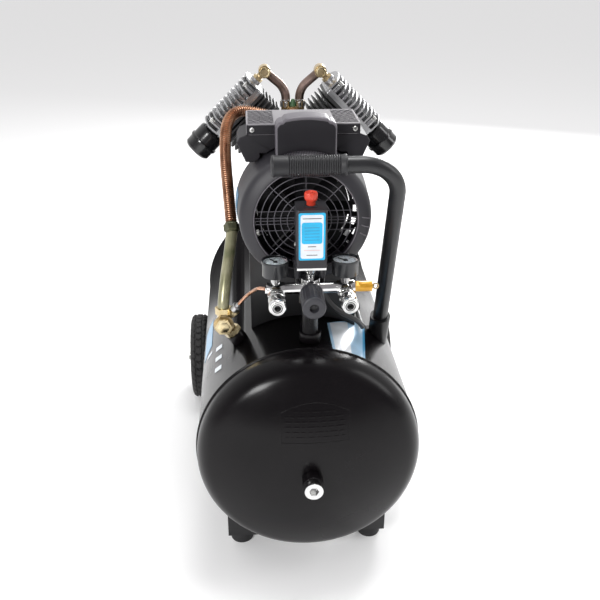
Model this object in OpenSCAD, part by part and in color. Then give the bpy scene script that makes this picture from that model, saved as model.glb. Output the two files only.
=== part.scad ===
// V-twin direct-drive air compressor on a horizontal 100 litre tank.
// Millimetres. X to the right, Y from the handle end to the wheel end, Z up, floor at z = 0,
// tank axis at x = 0.

/* [Tank] */
// Outer radius of the tank
tank_r = 190; // [180:1:200]
// Height of the tank axis above the floor
tank_z = 235; // [225:1:245]
// Half of the length of the rolled shell
shell_half = 351; // [340:1:360]
// Depth of each domed head
head_depth = 90; // [80:1:100]
// Knuckle radius of the domed heads
knuckle_r = 45; // [38:1:52]
// Thickness of the tank wall
tank_wall = 3; // [2:0.5:4]

/* [Wheels and feet] */
// Outer radius of the tyres
wheel_r = 100; // [95:1:105]
// Width of the tyres
wheel_w = 40; // [34:1:44]
// Distance of the wheel centres from the middle plane
wheel_x = 215; // [213:1:218]
// Place of the wheel axis along the tank
wheel_y = 228; // [200:1:250]
// Distance of the rubber feet from the middle plane
foot_x = 120; // [110:1:128]
// Place of the rubber feet along the tank
foot_y = -300; // [-315:1:-285]
// Height of the rubber feet
foot_h = 25; // [22:1:28]

/* [Handle] */
// Outer diameter of the handle tube
handle_d = 26; // [24:1:28]
// Distance of the handle leg from the middle plane
handle_x = 140; // [136:1:142]
// Forward lean of the handle leg in degrees
handle_lean = 20.8; // [18:0.1:24]
// Length of the handle leg along its lean
handle_leg = 380; // [360:1:400]
// Centreline radius of the handle bend
handle_bend = 58; // [50:1:62]
// Outer diameter of the handle grip
grip_d = 33; // [31:0.5:36]

/* [Motor and pump] */
// Height of the crank axis above the floor
crank_z = 623; // [618:1:628]
// Place of the middle plane of the two cylinders along the tank
pump_y = 75; // [70:1:80]
// Piston diameter
piston_d = 47; // [44:0.5:48]
// Piston stroke
stroke = 40; // [34:1:42]
// Distance from the crank axis to the top of each cylinder
deck_r = 143; // [141:1:145]
// Length of each cylinder head
head_l = 116; // [110:1:120]
// Depth of each cylinder head
head_w = 100; // [94:1:104]
// Number of fins on each cylinder head
head_fins = 12; // [8:1:13]
// Radius of the motor housing
motor_r = 78; // [74:1:79]
// Outer radius of the front of the fan shroud
shroud_r = 107; // [104:1:109]
// Radius of the opening of the fan shroud
shroud_open_r = 82.5; // [80:0.5:84]

/* [Controls] */
// Offset of the control panel from the middle plane
panel_x = 5; // [0:1:8]
// Distance of each gauge from the centre of the control panel
gauge_dx = 56; // [52:1:60]
// Height of the manifold above the floor
manifold_z = 519; // [514:1:524]
// Place of the manifold along the tank
manifold_y = -315; // [-320:1:-310]
// Diameter of the gauges
gauge_d = 42; // [38:1:44]
// Diameter of the coupler sleeves
sleeve_d = 27; // [25:1:28]

/* [Mains cord] */
// Diameter of the mains cord
cord_d = 9; // [8:0.5:10]

/* [Hidden] */
$fn = 64;
clear = 0.06;
shell_gap = 0.3;

// Domed head: crown arc and knuckle arc meet the straight flange.
flange_l = 10;
dome_h = head_depth - flange_l;
crown_a = ((dome_h - knuckle_r) ^ 2 + (tank_r - knuckle_r) ^ 2) / (2 * (dome_h - knuckle_r));
crown_r = crown_a + knuckle_r;
crown_end = asin((tank_r - knuckle_r) / crown_a);
tank_end = shell_half + head_depth;
port_rise = 8;

// Fan, motor and crankcase stations along the crank axis.
shroud_y0 = -290;
skirt_y1 = -190;
motor_y0 = -215;
motor_y1 = 20;
crankcase_y1 = 130;
base_half = 92;
base_y0 = -225;
base_y1 = 140;
base_top = crank_z - motor_r;
box_top = 765;
box_bottom = 748;
box_half = 91;
box_y0 = -230;
box_y1 = -125;

// Radial distances on each cylinder bank, from the crank axis.
pad_r = 62;
plate_t = 5;
head_r = deck_r + plate_t;
filter_r = 151;
throw = stroke / 2;
piston_top = deck_r - 0.5 - throw;
piston_h = 30;
rod_end = 36 + throw;
filler_y = 119;

// Discharge side.
tee_y = 70;
tee_z = 722;
tube_x = 13;
bend_r = 40;
banjo_x = 53;
banjo_z = 797;

// Control panel.
gauge_z0 = manifold_z + 19;
gauge_z1 = gauge_z0 + 30;
dial_h = 25.5;
coupler_y0 = -390;
switch_y0 = -342;
switch_y1 = -294;
switch_y = (switch_y0 + switch_y1) / 2;
switch_z0 = manifold_z + 45;
gland_y = -303;
gland_z = switch_z0 - 10;
switch_z1 = switch_z0 + 95;
switch_half = 24;

// Mains cord: switch gland, tank shoulder, over the wheel end, floor, coil.
mains_route = [[25, -303, 554], [25, -303, 538], [26, -298.5, 516], [29, -296.5, 500],
    [35, -296, 488], [45, -296, 475], [60, -295, 462], [76, -291, 451], [89, -283, 439],
    [98, -267, 423], [102.5, -246, 410], [104, -215, 404.5], [104, -160, 404], [104, 0, 404],
    [104, 150, 404], [104, 280, 404], [103, 335, 406],
    [99, 368, 403], [92, 402, 390], [86, 434, 350], [82, 453, 290], [78, 468, 210],
    [74, 480, 120], [68, 494, 50], [61, 514, 14], [55, 545, 5.5], [53.5, 580, 5.5]];
tail_route = [[-27, 626, 15], [-46, 612, 14.5], [-60, 588, 13], [-66, 560, 12.5], [-67, 538, 15],
    [-67, 524, 17]];
coil_c = [0, 580];
coil_r = 48.75;
coil_h = 20;
plug_c = [-67, 472, 17];
plug_l = 50;
motor_route = [[-15, -303, 554], [-15, -303, 538], [-13, -298, 518], [-5, -291, 505],
    [12, -286, 499], [32, -285, 497], [54, -287, 497], [74, -289, 489], [86, -284, 474],
    [90, -271, 460], [89, -255, 451], [85, -240, 447], [82, -230, 446], [82, -225, 446]];
arc_z = tee_z + 23;
discharge_route = concat([[tube_x, tee_y, tee_z + 19]], [for (a = [0 : 6.25 : 50])
    [tube_x + bend_r - bend_r * cos(a), tee_y, arc_z + bend_r * sin(a)]],
    [[banjo_x - 5.4, tee_y, banjo_z - 4.5]]);
finned_route = [[0, 52, 722], [0, 20, 722], [-6, -4, 723], [-28, -17, 727], [-60, -18, 735],
    [-91, -16, 741], [-111, -22, 738], [-123, -36, 726], [-128, -56, 706], [-129, -85, 669],
    [-125, -125, 615], [-121, -160, 568]];
delivery_route = [[-121, -164, 562], [-126, -190, 533], [-133, -218, 498], [-138, -236, 464],
    [-139, -238, 452]];
unloader_route = [[-119, -247, 453], [-112, -250, 462], [-98, -264, 484], [-84, -290, 506],
    [-77, -308, 517], [-68, -315, 519]];

// Swept round tube along a smooth curve through the given points.
function blend_point(a, b, c, d, t) = 0.5 * (2 * b + (c - a) * t
    + (2 * a - 5 * b + 4 * c - d) * t ^ 2 + (3 * b - a - 3 * c + d) * t ^ 3);
function smooth(p, n) = concat([for (i = [0 : len(p) - 2]) for (k = [0 : n - 1])
    blend_point(p[max(i - 1, 0)], p[i], p[i + 1], p[min(i + 2, len(p) - 1)], k / n)],
    [p[len(p) - 1]]);
function unit(v) = v / norm(v);
function heading(p, i) = unit(p[min(i + 1, len(p) - 1)] - p[max(i - 1, 0)]);
function square_to(n, t) = unit(n - t * (n * t));
function side_dirs(p, n, i = 0) = i == len(p) ? [] :
    let (m = square_to(n, heading(p, i))) concat([m], side_dirs(p, m, i + 1));

module swept_tube(route, d, sides, steps, start = [1, 0.3, 0.2]) {
    p = smooth(route, steps);
    n = side_dirs(p, start);
    last = len(p) - 1;
    rings = [for (i = [0 : last]) for (k = [0 : sides - 1])
        let (t = heading(p, i), a = 360 * k / sides)
        p[i] + d / 2 * (cos(a) * n[i] + sin(a) * cross(t, n[i]))];
    walls = [for (i = [0 : last - 1]) for (k = [0 : sides - 1])
        let (j = (k + 1) % sides)
        [i * sides + k, (i + 1) * sides + k, (i + 1) * sides + j, i * sides + j]];
    caps = [[for (k = [0 : sides - 1]) k], [for (k = [sides - 1 : -1 : 0]) last * sides + k]];
    polyhedron(rings, concat(walls, caps));
}

module along_y(y0, y1, r, x = 0, z = 0) {
    translate([x, y1, z]) rotate([90, 0, 0]) cylinder(h = y1 - y0, r = r);
}

module hex(af, h) {
    cylinder(h = h, d = af / cos(30), $fn = 6);
}

module hex_y(y0, y1, af, x, z) {
    translate([x, y1, z]) rotate([90, 0, 0]) hex(af, y1 - y0);
}

module hex_x(x0, x1, af, y, z) {
    translate([x0, y, z]) rotate([0, 90, 0]) hex(af, x1 - x0);
}

module rounded_plate(x, y, h, r) {
    linear_extrude(h) union() {
        square([x - 2 * r, y], center = true);
        square([x, y - 2 * r], center = true);
        for (sx = [-1, 1], sy = [-1, 1])
            translate([sx * (x / 2 - r), sy * (y / 2 - r)]) circle(r, $fn = 24);
    }
}

// Places children on one cylinder bank: +Z away from the crank, +X to the outer lower end.
module bank(side) {
    translate([0, pump_y, crank_z]) mirror([side < 0 ? 1 : 0, 0, 0]) rotate([0, 45, 0])
        children();
}

module tank_solid(extra = 0) {
    along_y(-shell_half, shell_half, tank_r + extra, 0, tank_z);
}

// Tank

module tank_shell() color("black") difference() {
    union() {
        tank_solid();
        for (s = [-1, 1]) translate([0, s * (shell_half - 3), tank_z]) rotate([90, 0, 0])
            rotate_extrude($fn = 128) translate([tank_r, 0]) circle(2.5, $fn = 16);
    }
    along_y(-shell_half - 5, shell_half + 5, tank_r - tank_wall, 0, tank_z);
    translate([panel_x, manifold_y, tank_z]) cylinder(h = tank_r + 20, d = 16);
    valve_axis() translate([0, 0, -20]) cylinder(h = 60, d = 20.2);
    translate([0, 0, tank_z - tank_r - 20]) cylinder(h = 60, d = 12.2);
}

function dome_line(offset_in) = concat(
    [for (i = [0 : 12]) let (a = crown_end * i / 12)
        [(crown_r - offset_in) * sin(a), dome_h - crown_r + (crown_r - offset_in) * cos(a)]],
    [for (i = [1 : 8]) let (a = crown_end + (90 - crown_end) * i / 8)
        [tank_r - knuckle_r + (knuckle_r - offset_in) * sin(a),
         (knuckle_r - offset_in) * cos(a)]],
    [[tank_r - offset_in, -flange_l]]);

module domed_head() {
    outer = dome_line(0);
    inner = dome_line(tank_wall);
    rotate_extrude($fn = 128)
        polygon(concat(outer, [for (i = [len(inner) - 1 : -1 : 0]) inner[i]]));
}

module front_head() color("black") difference() {
    translate([0, -shell_half - flange_l, tank_z]) rotate([90, 0, 0]) domed_head();
    along_y(-tank_end - 5, -tank_end + 20, 8, 0, tank_z);
}

module rear_head() color("black") difference() {
    translate([0, shell_half + flange_l, tank_z]) rotate([-90, 0, 0]) domed_head();
    along_y(tank_end - 20, tank_end + 5, 8, 0, tank_z);
}

module tank_ports() color("black") difference() {
    union() {
        for (s = [-1, 1]) translate([0, s * (tank_end - 1), tank_z]) rotate([-90 * s, 0, 0])
            cylinder(h = 13 + port_rise, d = 34);
        difference() {
            translate([panel_x, manifold_y, tank_z]) cylinder(h = tank_r + 16, d = 36);
            tank_solid();
        }
        difference() {
            valve_axis() cylinder(h = 26, d = 30);
            tank_solid();
        }
        difference() {
            translate([0, 0, tank_z - tank_r - 12]) cylinder(h = 30, d = 22);
            tank_solid();
        }
    }
    along_y(-tank_end - 30, tank_end + 30, 11, 0, tank_z);
    translate([panel_x, manifold_y, tank_z]) cylinder(h = tank_r + 30, d = 26.2);
    valve_axis() translate([0, 0, 6]) cylinder(h = 40, d = 20.2);
    translate([0, 0, tank_z - tank_r - 20]) cylinder(h = 60, d = 12.2);
}

// Radial axis of the check valve on the tank's left shoulder, from just under the surface.
valve_c = [-139, -238, 424];
valve_angle = atan2(-valve_c[0], valve_c[2] - tank_z);
valve_len = norm([valve_c[0], valve_c[2] - tank_z]);
module valve_axis() {
    translate([0, valve_c[1], tank_z]) rotate([0, -valve_angle, 0])
        translate([0, 0, tank_r - 10]) children();
}

module port_plugs() color("silver") for (s = [-1, 1])
    translate([0, s * (tank_end + port_rise), tank_z]) rotate([-90 * s, 0, 0]) difference() {
        union() {
            translate([0, 0, 0.2]) cylinder(h = 15, r = 10.9);
            translate([0, 0, 12.2]) cylinder(h = 12.8, d = 30);
        }
        translate([0, 0, 10]) cylinder(h = 20, d = 14 / cos(30), $fn = 6);
    }

// Feet and wheels

module foot_bracket(s) {
    difference() {
        union() {
            translate([s * foot_x, foot_y, foot_h]) translate([-s * 4, 0, 0])
                linear_extrude(4) square([58, 56], center = true);
            for (y = [-28, 24]) translate([s * (foot_x - 4) - 29, foot_y + y, foot_h])
                cube([58, 4, 80]);
        }
        tank_solid();
        translate([s * foot_x, foot_y, foot_h - 1]) cylinder(h = 8, r = 5 + clear);
    }
}

module wheel_bracket(s) {
    mirror([s < 0 ? 1 : 0, 0, 0]) difference() {
        union() {
            translate([178, wheel_y, wheel_r]) rotate([0, 90, 0]) linear_extrude(5) union() {
                circle(30);
                translate([-66, -30]) square([66, 60]);
            }
            for (y = [-30, 26]) translate([100, wheel_y + y, wheel_r]) cube([78, 4, 68]);
            translate([120, wheel_y - 30, wheel_r - 4]) cube([60, 60, 4]);
        }
        tank_solid();
        translate([150, wheel_y, wheel_r]) rotate([0, 90, 0]) cylinder(h = 60, r = 8 + clear);
    }
}

module leg_frame() {
    translate([handle_x, -195, 370]) rotate([handle_lean, 0, 0]) children();
}

module handle_socket() {
    difference() {
        union() {
            leg_frame() translate([0, 0, -20]) cylinder(h = 66, d = 36);
            leg_frame() translate([-36, -4, -30]) cube([36, 8, 46]);
        }
        tank_solid();
        leg_frame() cylinder(h = 80, r = handle_d / 2 + clear);
    }
}

module tank_brackets() color("black") {
    for (s = [-1, 1]) foot_bracket(s);
    for (s = [-1, 1]) wheel_bracket(s);
    handle_socket();
}

module rubber_feet() color("dimgray") for (s = [-1, 1]) translate([s * foot_x, foot_y, 0])
    difference() {
        rotate_extrude() polygon([[0, 0], [20, 0], [21, 3], [18, foot_h], [0, foot_h]]);
        translate([0, 0, -1]) cylinder(h = 9, d = 22);
        cylinder(h = 40, r = 5 + clear);
    }

module bolts() color("silver") {
    for (s = [-1, 1]) translate([s * foot_x, foot_y, 0]) {
        translate([0, 0, 3]) hex(15, 5);
        translate([0, 0, 8]) cylinder(h = 24, r = 5);
        translate([0, 0, foot_h + 4]) hex(15, 7);
    }
    for (s = [-1, 1], x = [-46, 46], y = [-38, 38]) bank(s) translate([x, y, head_r]) {
        translate([0, 0, 21]) hex(12, 7);
        translate([0, 0, 20]) cylinder(h = 1.2, d = 15);
    }
    for (sx = [-1, 1], y = [-150, -40]) translate([sx * 70, y, base_top]) {
        translate([0, 0, 8]) hex(13, 6);
        translate([0, 0, 6]) cylinder(h = 2.2, d = 17);
    }
    for (a = [30 : 60 : 330]) translate([52 * cos(a), crankcase_y1 + 12, crank_z + 52 * sin(a)])
        rotate([-90, 0, 0]) hex(8, 4);
}

module wheel_axles() color("silver") for (s = [-1, 1]) mirror([s < 0 ? 1 : 0, 0, 0])
    translate([0, wheel_y, wheel_r]) {
        translate([168, 0, 0]) rotate([0, 90, 0]) hex(19, 9.9);
        translate([170, 0, 0]) rotate([0, 90, 0]) cylinder(h = 74, r = 8);
        translate([183.1, 0, 0]) rotate([0, 90, 0]) cylinder(h = 6, d = 24);
        translate([236.3, 0, 0]) rotate([0, 90, 0]) cylinder(h = 1.6, d = 26);
        translate([237.8, 0, 0]) rotate([0, 90, 0]) hex(19, 7.2);
    }

module wheel_hub(s) {
    w = wheel_w;
    color("dimgray") mirror([s < 0 ? 1 : 0, 0, 0]) translate([wheel_x, wheel_y, wheel_r])
        rotate([0, 90, 0]) difference() {
            union() {
                rotate_extrude($fn = 96) polygon([[8 + clear, -24], [19, -24], [19, -9],
                    [56, -9], [58, -w / 2 + 3], [70, -w / 2 + 3], [70, w / 2 - 3],
                    [58, w / 2 - 3], [56, 9], [19, 9], [19, 20], [8 + clear, 20]]);
            }
            for (a = [0 : 72 : 288]) rotate([0, 0, a]) translate([38, 0, -30])
                cylinder(h = 60, d = 20);
        }
}

module tyre(s) {
    w = wheel_w;
    color("black") mirror([s < 0 ? 1 : 0, 0, 0]) translate([wheel_x, wheel_y, wheel_r])
        rotate([0, 90, 0]) rotate_extrude($fn = 96) polygon([[70, -w / 2 + 1], [86, -w / 2],
            [95, -w / 2 + 2], [99, -w / 2 + 6], [wheel_r, 0], [99, w / 2 - 6],
            [95, w / 2 - 2], [86, w / 2], [70, w / 2 - 1]]);
}

module wheel_hub_left() wheel_hub(-1);
module wheel_hub_right() wheel_hub(1);
module tyre_left() tyre(-1);
module tyre_right() tyre(1);

// Handle

handle_bar = handle_x + 48;
module handle_tube() color("black") leg_frame() {
    difference() {
        cylinder(h = handle_leg - handle_bend, d = handle_d);
        rotate([-handle_lean, 0, 0]) translate([-handle_x, 195, -370]) tank_solid();
    }
    translate([-handle_bend, 0, handle_leg - handle_bend]) rotate([90, 0, 0])
        rotate_extrude(angle = 90) translate([handle_bend, 0]) circle(d = handle_d);
    translate([-handle_bar, 0, handle_leg]) rotate([0, 90, 0])
        cylinder(h = handle_bar - handle_bend, d = handle_d);
}

module handle_grip() color("black") leg_frame() {
    translate([-handle_x + 58, 0, handle_leg]) rotate([0, -90, 0]) difference() {
        union() {
            cylinder(h = 114, d = grip_d - 2.5);
            cylinder(h = 8, d = grip_d);
            translate([0, 0, 106]) cylinder(h = 8, d = grip_d);
            for (i = [0 : 21]) translate([0, 0, 11 + i * 4.3]) cylinder(h = 2.4, d = grip_d - 1);
        }
        translate([0, 0, -1]) cylinder(h = 107.5, r = handle_d / 2 + clear);
    }
}

// Motor

module motor_base() color("black") difference() {
    translate([-base_half, base_y0, tank_z + 120])
        cube([2 * base_half, base_y1 - base_y0, base_top - tank_z - 120]);
    translate([-base_half + 3, base_y0 + 3, tank_z + 100])
        cube([2 * base_half - 6, base_y1 - base_y0 - 6, base_top - tank_z - 103]);
    tank_solid();
    translate([0, 0, crank_z]) along_y(base_y0 - 5, skirt_y1 + 0.5, 112.4);
    translate([82, base_y0 - 5, 446]) rotate([-90, 0, 0]) cylinder(h = 20, d = 9);
}

module motor_housing() color("dimgray") {
    translate([0, 0, crank_z]) difference() {
        union() {
            along_y(motor_y0, motor_y1, motor_r - 6);
            for (a = [0 : 10 : 350]) rotate([0, a, 0])
                translate([-1.2, -190, motor_r - 8]) cube([2.4, 180, 7.5]);
            along_y(motor_y0, motor_y0 + 14, motor_r - 1);
            along_y(motor_y1 - 12, motor_y1, motor_r - 1);
        }
        along_y(motor_y0 + 8, motor_y1 - 8, motor_r - 12);
        along_y(motor_y0 - 5, motor_y1 + 5, 15 + clear);
    }
    translate([0, 0, crank_z]) difference() {
        along_y(-170, -50, motor_r - 12);
        along_y(-171, -49, 40);
    }
    for (s = [-1, 1], y = [-165, -55]) mirror([s < 0 ? 1 : 0, 0, 0]) {
        translate([44, y, base_top]) cube([42, 30, 6]);
        translate([44, y + 9, base_top]) cube([12, 12, 26]);
    }
}

module fan_shroud() color("dimgray") difference() {
    union() {
        translate([0, shroud_y0, crank_z]) rotate([-90, 0, 0]) rotate_extrude($fn = 128)
            polygon([[shroud_open_r, 0], [shroud_open_r + 3, 0], [97, 4], [shroud_r - 2, 11],
                [shroud_r, 16], [112, 100], [109, 100], [shroud_r - 3, 17],
                [shroud_r - 6, 13], [96, 8], [shroud_open_r + 3, 4],
                [shroud_open_r + 3, 14], [shroud_open_r, 14]]);
        for (a = [45 : 90 : 315]) translate([0, 0, crank_z]) rotate([0, a, 0])
            translate([-6, -212, motor_r - 1]) cube([12, 8, 32.5]);
    }
    for (a = [-16, 0, 16]) translate([0, shroud_y0, crank_z]) rotate([0, a, 0])
        translate([88, -5, -3.5]) cube([10, 20, 1.6]);
}

module fan_grille() color("silver") translate([0, shroud_y0 + 5, crank_z]) {
    for (r = [72, 61.5, 51, 40.5, 30]) rotate([90, 0, 0]) rotate_extrude()
        translate([r - 1, -1]) square([2, 2]);
    rotate([90, 0, 0]) translate([0, 0, -1.2]) cylinder(h = 2.4, r = 20);
    for (a = [0 : 45 : 315]) rotate([0, a, 0]) translate([-0.9, -0.8, 18])
        cube([1.8, 1.6, shroud_open_r - 17.7]);
    for (z = [-16, -5, 5, 16]) translate([-sqrt((shroud_open_r - 1) ^ 2 - z ^ 2), -0.7, z - 0.8])
        cube([2 * sqrt((shroud_open_r - 1) ^ 2 - z ^ 2), 1.4, 1.6]);
}

module wind_guide() color("dimgray") difference() {
    translate([0, -150, 0]) rotate([90, 0, 0]) linear_extrude(80) polygon([
        [-box_half, box_bottom], [-102, 744], [-107, 736], [-93, 704], [-70, 704], [-70, 718],
        [70, 718], [70, 704], [93, 704], [107, 736], [102, 744], [box_half, box_bottom]]);
    translate([0, 0, crank_z]) along_y(-240, skirt_y1 + shell_gap, 112.4);
    translate([0, 0, crank_z]) along_y(-240, -140, 104);
}

module capacitor_box() color("gray") difference() {
    translate([0, (box_y0 + box_y1) / 2, box_bottom])
        rounded_plate(2 * box_half, box_y1 - box_y0, box_top - box_bottom, 6);
    translate([0, (box_y0 + box_y1) / 2, box_bottom - 1])
        rounded_plate(2 * box_half - 6, box_y1 - box_y0 - 6, box_top - box_bottom - 2, 4);
}

module arch(half, z0, z1) {
    intersection() {
        translate([-half, z0]) square([2 * half, z1 - z0]);
        translate([0, z1 - 150]) circle(150, $fn = 128);
    }
}

module terminal_cover() color("black") difference() {
    union() {
        translate([2, box_y0, 0]) rotate([90, 0, 0]) linear_extrude(30) arch(48, 676, 784);
        translate([2, box_y0 - 30, 0]) rotate([90, 0, 0]) linear_extrude(6) arch(44, 676, 780);
    }
    translate([0, 0, crank_z]) along_y(-280, -225, 110.8);
    translate([2, box_y0 + 1, 0]) rotate([90, 0, 0]) linear_extrude(25) arch(44, 738, 780);
}

// Pump

module crankcase() color("dimgray") difference() {
    union() {
        translate([0, 0, crank_z]) along_y(motor_y1, crankcase_y1, pad_r - 2);
        translate([0, 0, crank_z]) along_y(crankcase_y1, crankcase_y1 + 12, 60);
        for (s = [-1, 1]) bank(s) translate([-42, -42, 20]) cube([84, 84, pad_r - 20]);
        translate([-50, 30, base_top]) cube([100, 90, 30]);
    }
    translate([0, 0, crank_z]) along_y(motor_y1 + 8, crankcase_y1 - 2, 50);
    translate([0, 0, crank_z]) along_y(motor_y1 - 5, motor_y1 + 10, 15 + clear);
    for (s = [-1, 1]) bank(s) cylinder(h = 80, d = piston_d + 3);
    translate([0, crankcase_y1 + 2, crank_z - 28]) rotate([-90, 0, 0]) cylinder(h = 20, d = 22);
    translate([0, filler_y, crank_z + 40]) cylinder(h = 40, d = 14.2);
}

module oil_filler_cap() color("black") {
    translate([0, crankcase_y1 + 4, crank_z - 28]) rotate([-90, 0, 0]) cylinder(h = 12, d = 21.8);
    translate([0, filler_y, crank_z + 44]) cylinder(h = 20, d = 14);
    translate([0, filler_y, crank_z + 63]) cylinder(h = 15, d = 20);
}

module cylinder_bank(s) {
    color("black") bank(s) difference() {
        union() {
            translate([-40, -40, pad_r]) cube([80, 80, 8]);
            translate([0, 0, pad_r]) cylinder(h = deck_r - pad_r, d = 64);
            for (i = [0 : 4]) translate([0, 0, 93 + i * 9.2])
                rounded_plate(112, head_w, 3, 8);
            translate([0, 0, deck_r - 6]) rounded_plate(head_l - 2, head_w, 6, 6);
        }
        translate([0, 0, pad_r - 1]) cylinder(h = deck_r, r = piston_d / 2 + 0.05);
    }
}

module cylinder_left() cylinder_bank(-1);
module cylinder_right() cylinder_bank(1);

module head_fin(h_edge, h_mid) {
    w = head_w;
    r = ((w / 2) ^ 2 + (h_mid - h_edge) ^ 2) / (2 * (h_mid - h_edge));
    rotate([90, 0, 90]) linear_extrude(3, center = true) intersection() {
        translate([-w / 2, 0]) square([w, h_mid]);
        translate([0, h_mid - r]) circle(r, $fn = 128);
    }
}

module pump_head(s) {
    pitch = (head_l - 3) / (head_fins - 1);
    color("silver") bank(s) difference() {
        union() {
            translate([0, 0, deck_r]) rounded_plate(head_l, head_w, plate_t - 0.8, 5);
            translate([0, 0, head_r - 0.8]) rounded_plate(head_l - 2, head_w - 2, 0.8, 5);
            translate([0, 0, head_r]) rounded_plate(head_l, head_w, 6, 5);
            translate([0, 0, head_r + 5]) rounded_plate(head_l, 64, 12, 5);
            for (i = [0 : head_fins - 1]) translate([(i - (head_fins - 1) / 2) * pitch, 0, head_r + 2])
                head_fin(21, 32);
            for (x = [-46, 46], y = [-38, 38]) translate([x, y, head_r + 2]) cylinder(h = 18, d = 15);
            translate([head_l / 2 - 0.8, 0, filter_r]) rotate([0, 90, 0])
                cylinder(h = 8.8, d = 26);
            translate([-head_l / 2 - 6, 0, 160]) rotate([0, 90, 0]) cylinder(h = 12, d = 22);
        }
        for (x = [-46, 46], y = [-38, 38]) translate([x, y, head_r + 20]) cylinder(h = 30, d = 17);
        translate([head_l / 2 - 12, 0, filter_r]) rotate([0, 90, 0]) cylinder(h = 40, d = 16.2);
    }
}

module head_left() pump_head(-1);
module head_right() pump_head(1);

module intake_filters() color("black") for (s = [-1, 1]) bank(s)
    translate([head_l / 2 - 4, 0, filter_r]) rotate([0, 90, 0]) difference() {
        union() {
            cylinder(h = 20, d = 16);
            translate([0, 0, 12]) rotate_extrude() polygon([[0, 0], [20, 0], [26, 3], [27, 8],
                [27, 26], [29.5, 27], [29.5, 32], [27, 33], [27, 48], [24, 52], [0, 52]]);
        }
        translate([0, 0, -1]) cylinder(h = 14, d = 10);
    }

// Discharge side

module banjo(s) {
    bank(s) translate([-84, 0, 160]) rotate([0, 90, 0]) cylinder(h = 20, d = 13);
    bank(s) translate([-70, 0, 160]) rotate([0, 90, 0]) hex(17, 6);
    translate([s * banjo_x, pump_y - 16, banjo_z]) rotate([-90, 0, 0])
        cylinder(h = 26, d = 23);
    translate([s * banjo_x, pump_y - 22, banjo_z]) rotate([-90, 0, 0]) hex(18, 6.1);
}

module discharge_fittings() color("goldenrod") {
    for (s = [-1, 1]) banjo(s);
    translate([-22, tee_y - 10, tee_z - 8]) cube([44, 20, 16]);
    translate([0, tee_y, crank_z + pad_r - 3]) cylinder(h = 40, d = 13);
    for (s = [-1, 1]) translate([s * tube_x, tee_y, tee_z + 8]) hex(19, 11);
    hex_y(tee_y - 22, tee_y - 10, 22, 0, tee_z);
}

module discharge_tubes() color("sienna") for (s = [-1, 1]) mirror([s < 0 ? 1 : 0, 0, 0])
    swept_tube(discharge_route, 17, 16, 1, [0, 1, 0]);

module finned_tube() color("peru") swept_tube(finned_route, 21, 12, 5);

module delivery_tube() color("darkkhaki") {
    swept_tube(delivery_route, 20, 12, 5);
    translate(finned_route[len(finned_route) - 1]) rotate([28, -8, 0]) translate([0, 0, -6])
        hex(26, 13);
}

module check_valve() color("goldenrod") {
    valve_axis() translate([0, 0, 8]) cylinder(h = valve_len - tank_r + 2, d = 20);
    valve_axis() translate([0, 0, 27]) hex(27, 9);
    translate(valve_c) {
        along_y(-14, 13, 13);
        hex_y(-24, -14, 26, 0, 0);
        cylinder(h = 20, d = 22);
        translate([0, 0, 15]) hex(25, 13);
    }
    translate(valve_c) rotate([0, 42, 0]) rotate([14, 0, 0]) {
        cylinder(h = 26, d = 10);
        translate([0, 0, 23]) hex(13, 11);
    }
}

module unloader_tube() color("peru") swept_tube(unloader_route, 6, 10, 5);

// Control panel

module riser() color("black") translate([panel_x, manifold_y, 0]) difference() {
    union() {
        translate([0, 0, tank_z + tank_r + 0.1]) cylinder(h = manifold_z - 16.1 - tank_z - tank_r,
            d = 26);
        translate([0, 0, manifold_z - 26]) hex(32, 12);
    }
    translate([0, 0, tank_z + tank_r - 10]) cylinder(h = 200, d = 18);
}

module manifold() color("silver") translate([panel_x, manifold_y, manifold_z]) {
    for (s = [-1, 1]) {
        translate([s * gauge_dx - 14, 0, 0]) rotate([0, 90, 0]) cylinder(h = 28, d = 22);
        translate([s * gauge_dx, 0, 0]) cylinder(h = 19, d = 15);
        translate([s * gauge_dx, 0, 0]) rotate([90, 0, 0]) cylinder(h = 22, d = 18);
    }
    translate([-71, 0, 0]) rotate([0, 90, 0]) cylinder(h = 143, d = 19);
    hex_x(-73, -65, 16, 0, 0);
    translate([0, 0, -14]) cylinder(h = 32, d = 30);
    translate([0, 0, 17]) cylinder(h = 10, d = 14);
    translate([0, -3, 26]) cylinder(h = 16, d1 = 14, d2 = 29);
    translate([-switch_half + 1, -26, 41]) cube([2 * switch_half - 2, 30, 4]);
    rotate([90, 0, 0]) cylinder(h = 33, d = 27);
}

module gauge_case(x) {
    translate([x, manifold_y + 2, 0]) {
        translate([0, 0, gauge_z0]) difference() {
            union() {
                cylinder(h = 6, d = 11);
                translate([0, 0, 4]) cylinder(h = 26, d = gauge_d);
                translate([0, 0, 26]) cylinder(h = 4, d = gauge_d + 2);
            }
            translate([0, 0, dial_h]) cylinder(h = 10, d = gauge_d - 1);
        }
        translate([0, 0, gauge_z0 + dial_h - 1]) cylinder(h = 2.6, d = 3);
    }
}

module gauge_cases() color("dimgray") for (s = [-1, 1]) gauge_case(panel_x + s * gauge_dx);

module gauge_lenses() color("white") for (s = [-1, 1])
    translate([panel_x + s * gauge_dx, manifold_y + 2, gauge_z1 - 2])
        cylinder(h = 1.2, d = gauge_d - 1);

module needle(s) {
    color("red") translate([panel_x + s * gauge_dx, manifold_y + 2, gauge_z0 + dial_h + 0.6])
        rotate([0, 0, s < 0 ? 35 : 50]) difference() {
            union() {
                cylinder(h = 1, d = 7);
                translate([-0.8, -5, 0]) cube([1.6, 20, 1]);
            }
            translate([0, 0, -1]) cylinder(h = 4, r = 1.5 + clear);
        }
}

module gauge_needle_left() needle(-1);
module gauge_needle_right() needle(1);

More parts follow.
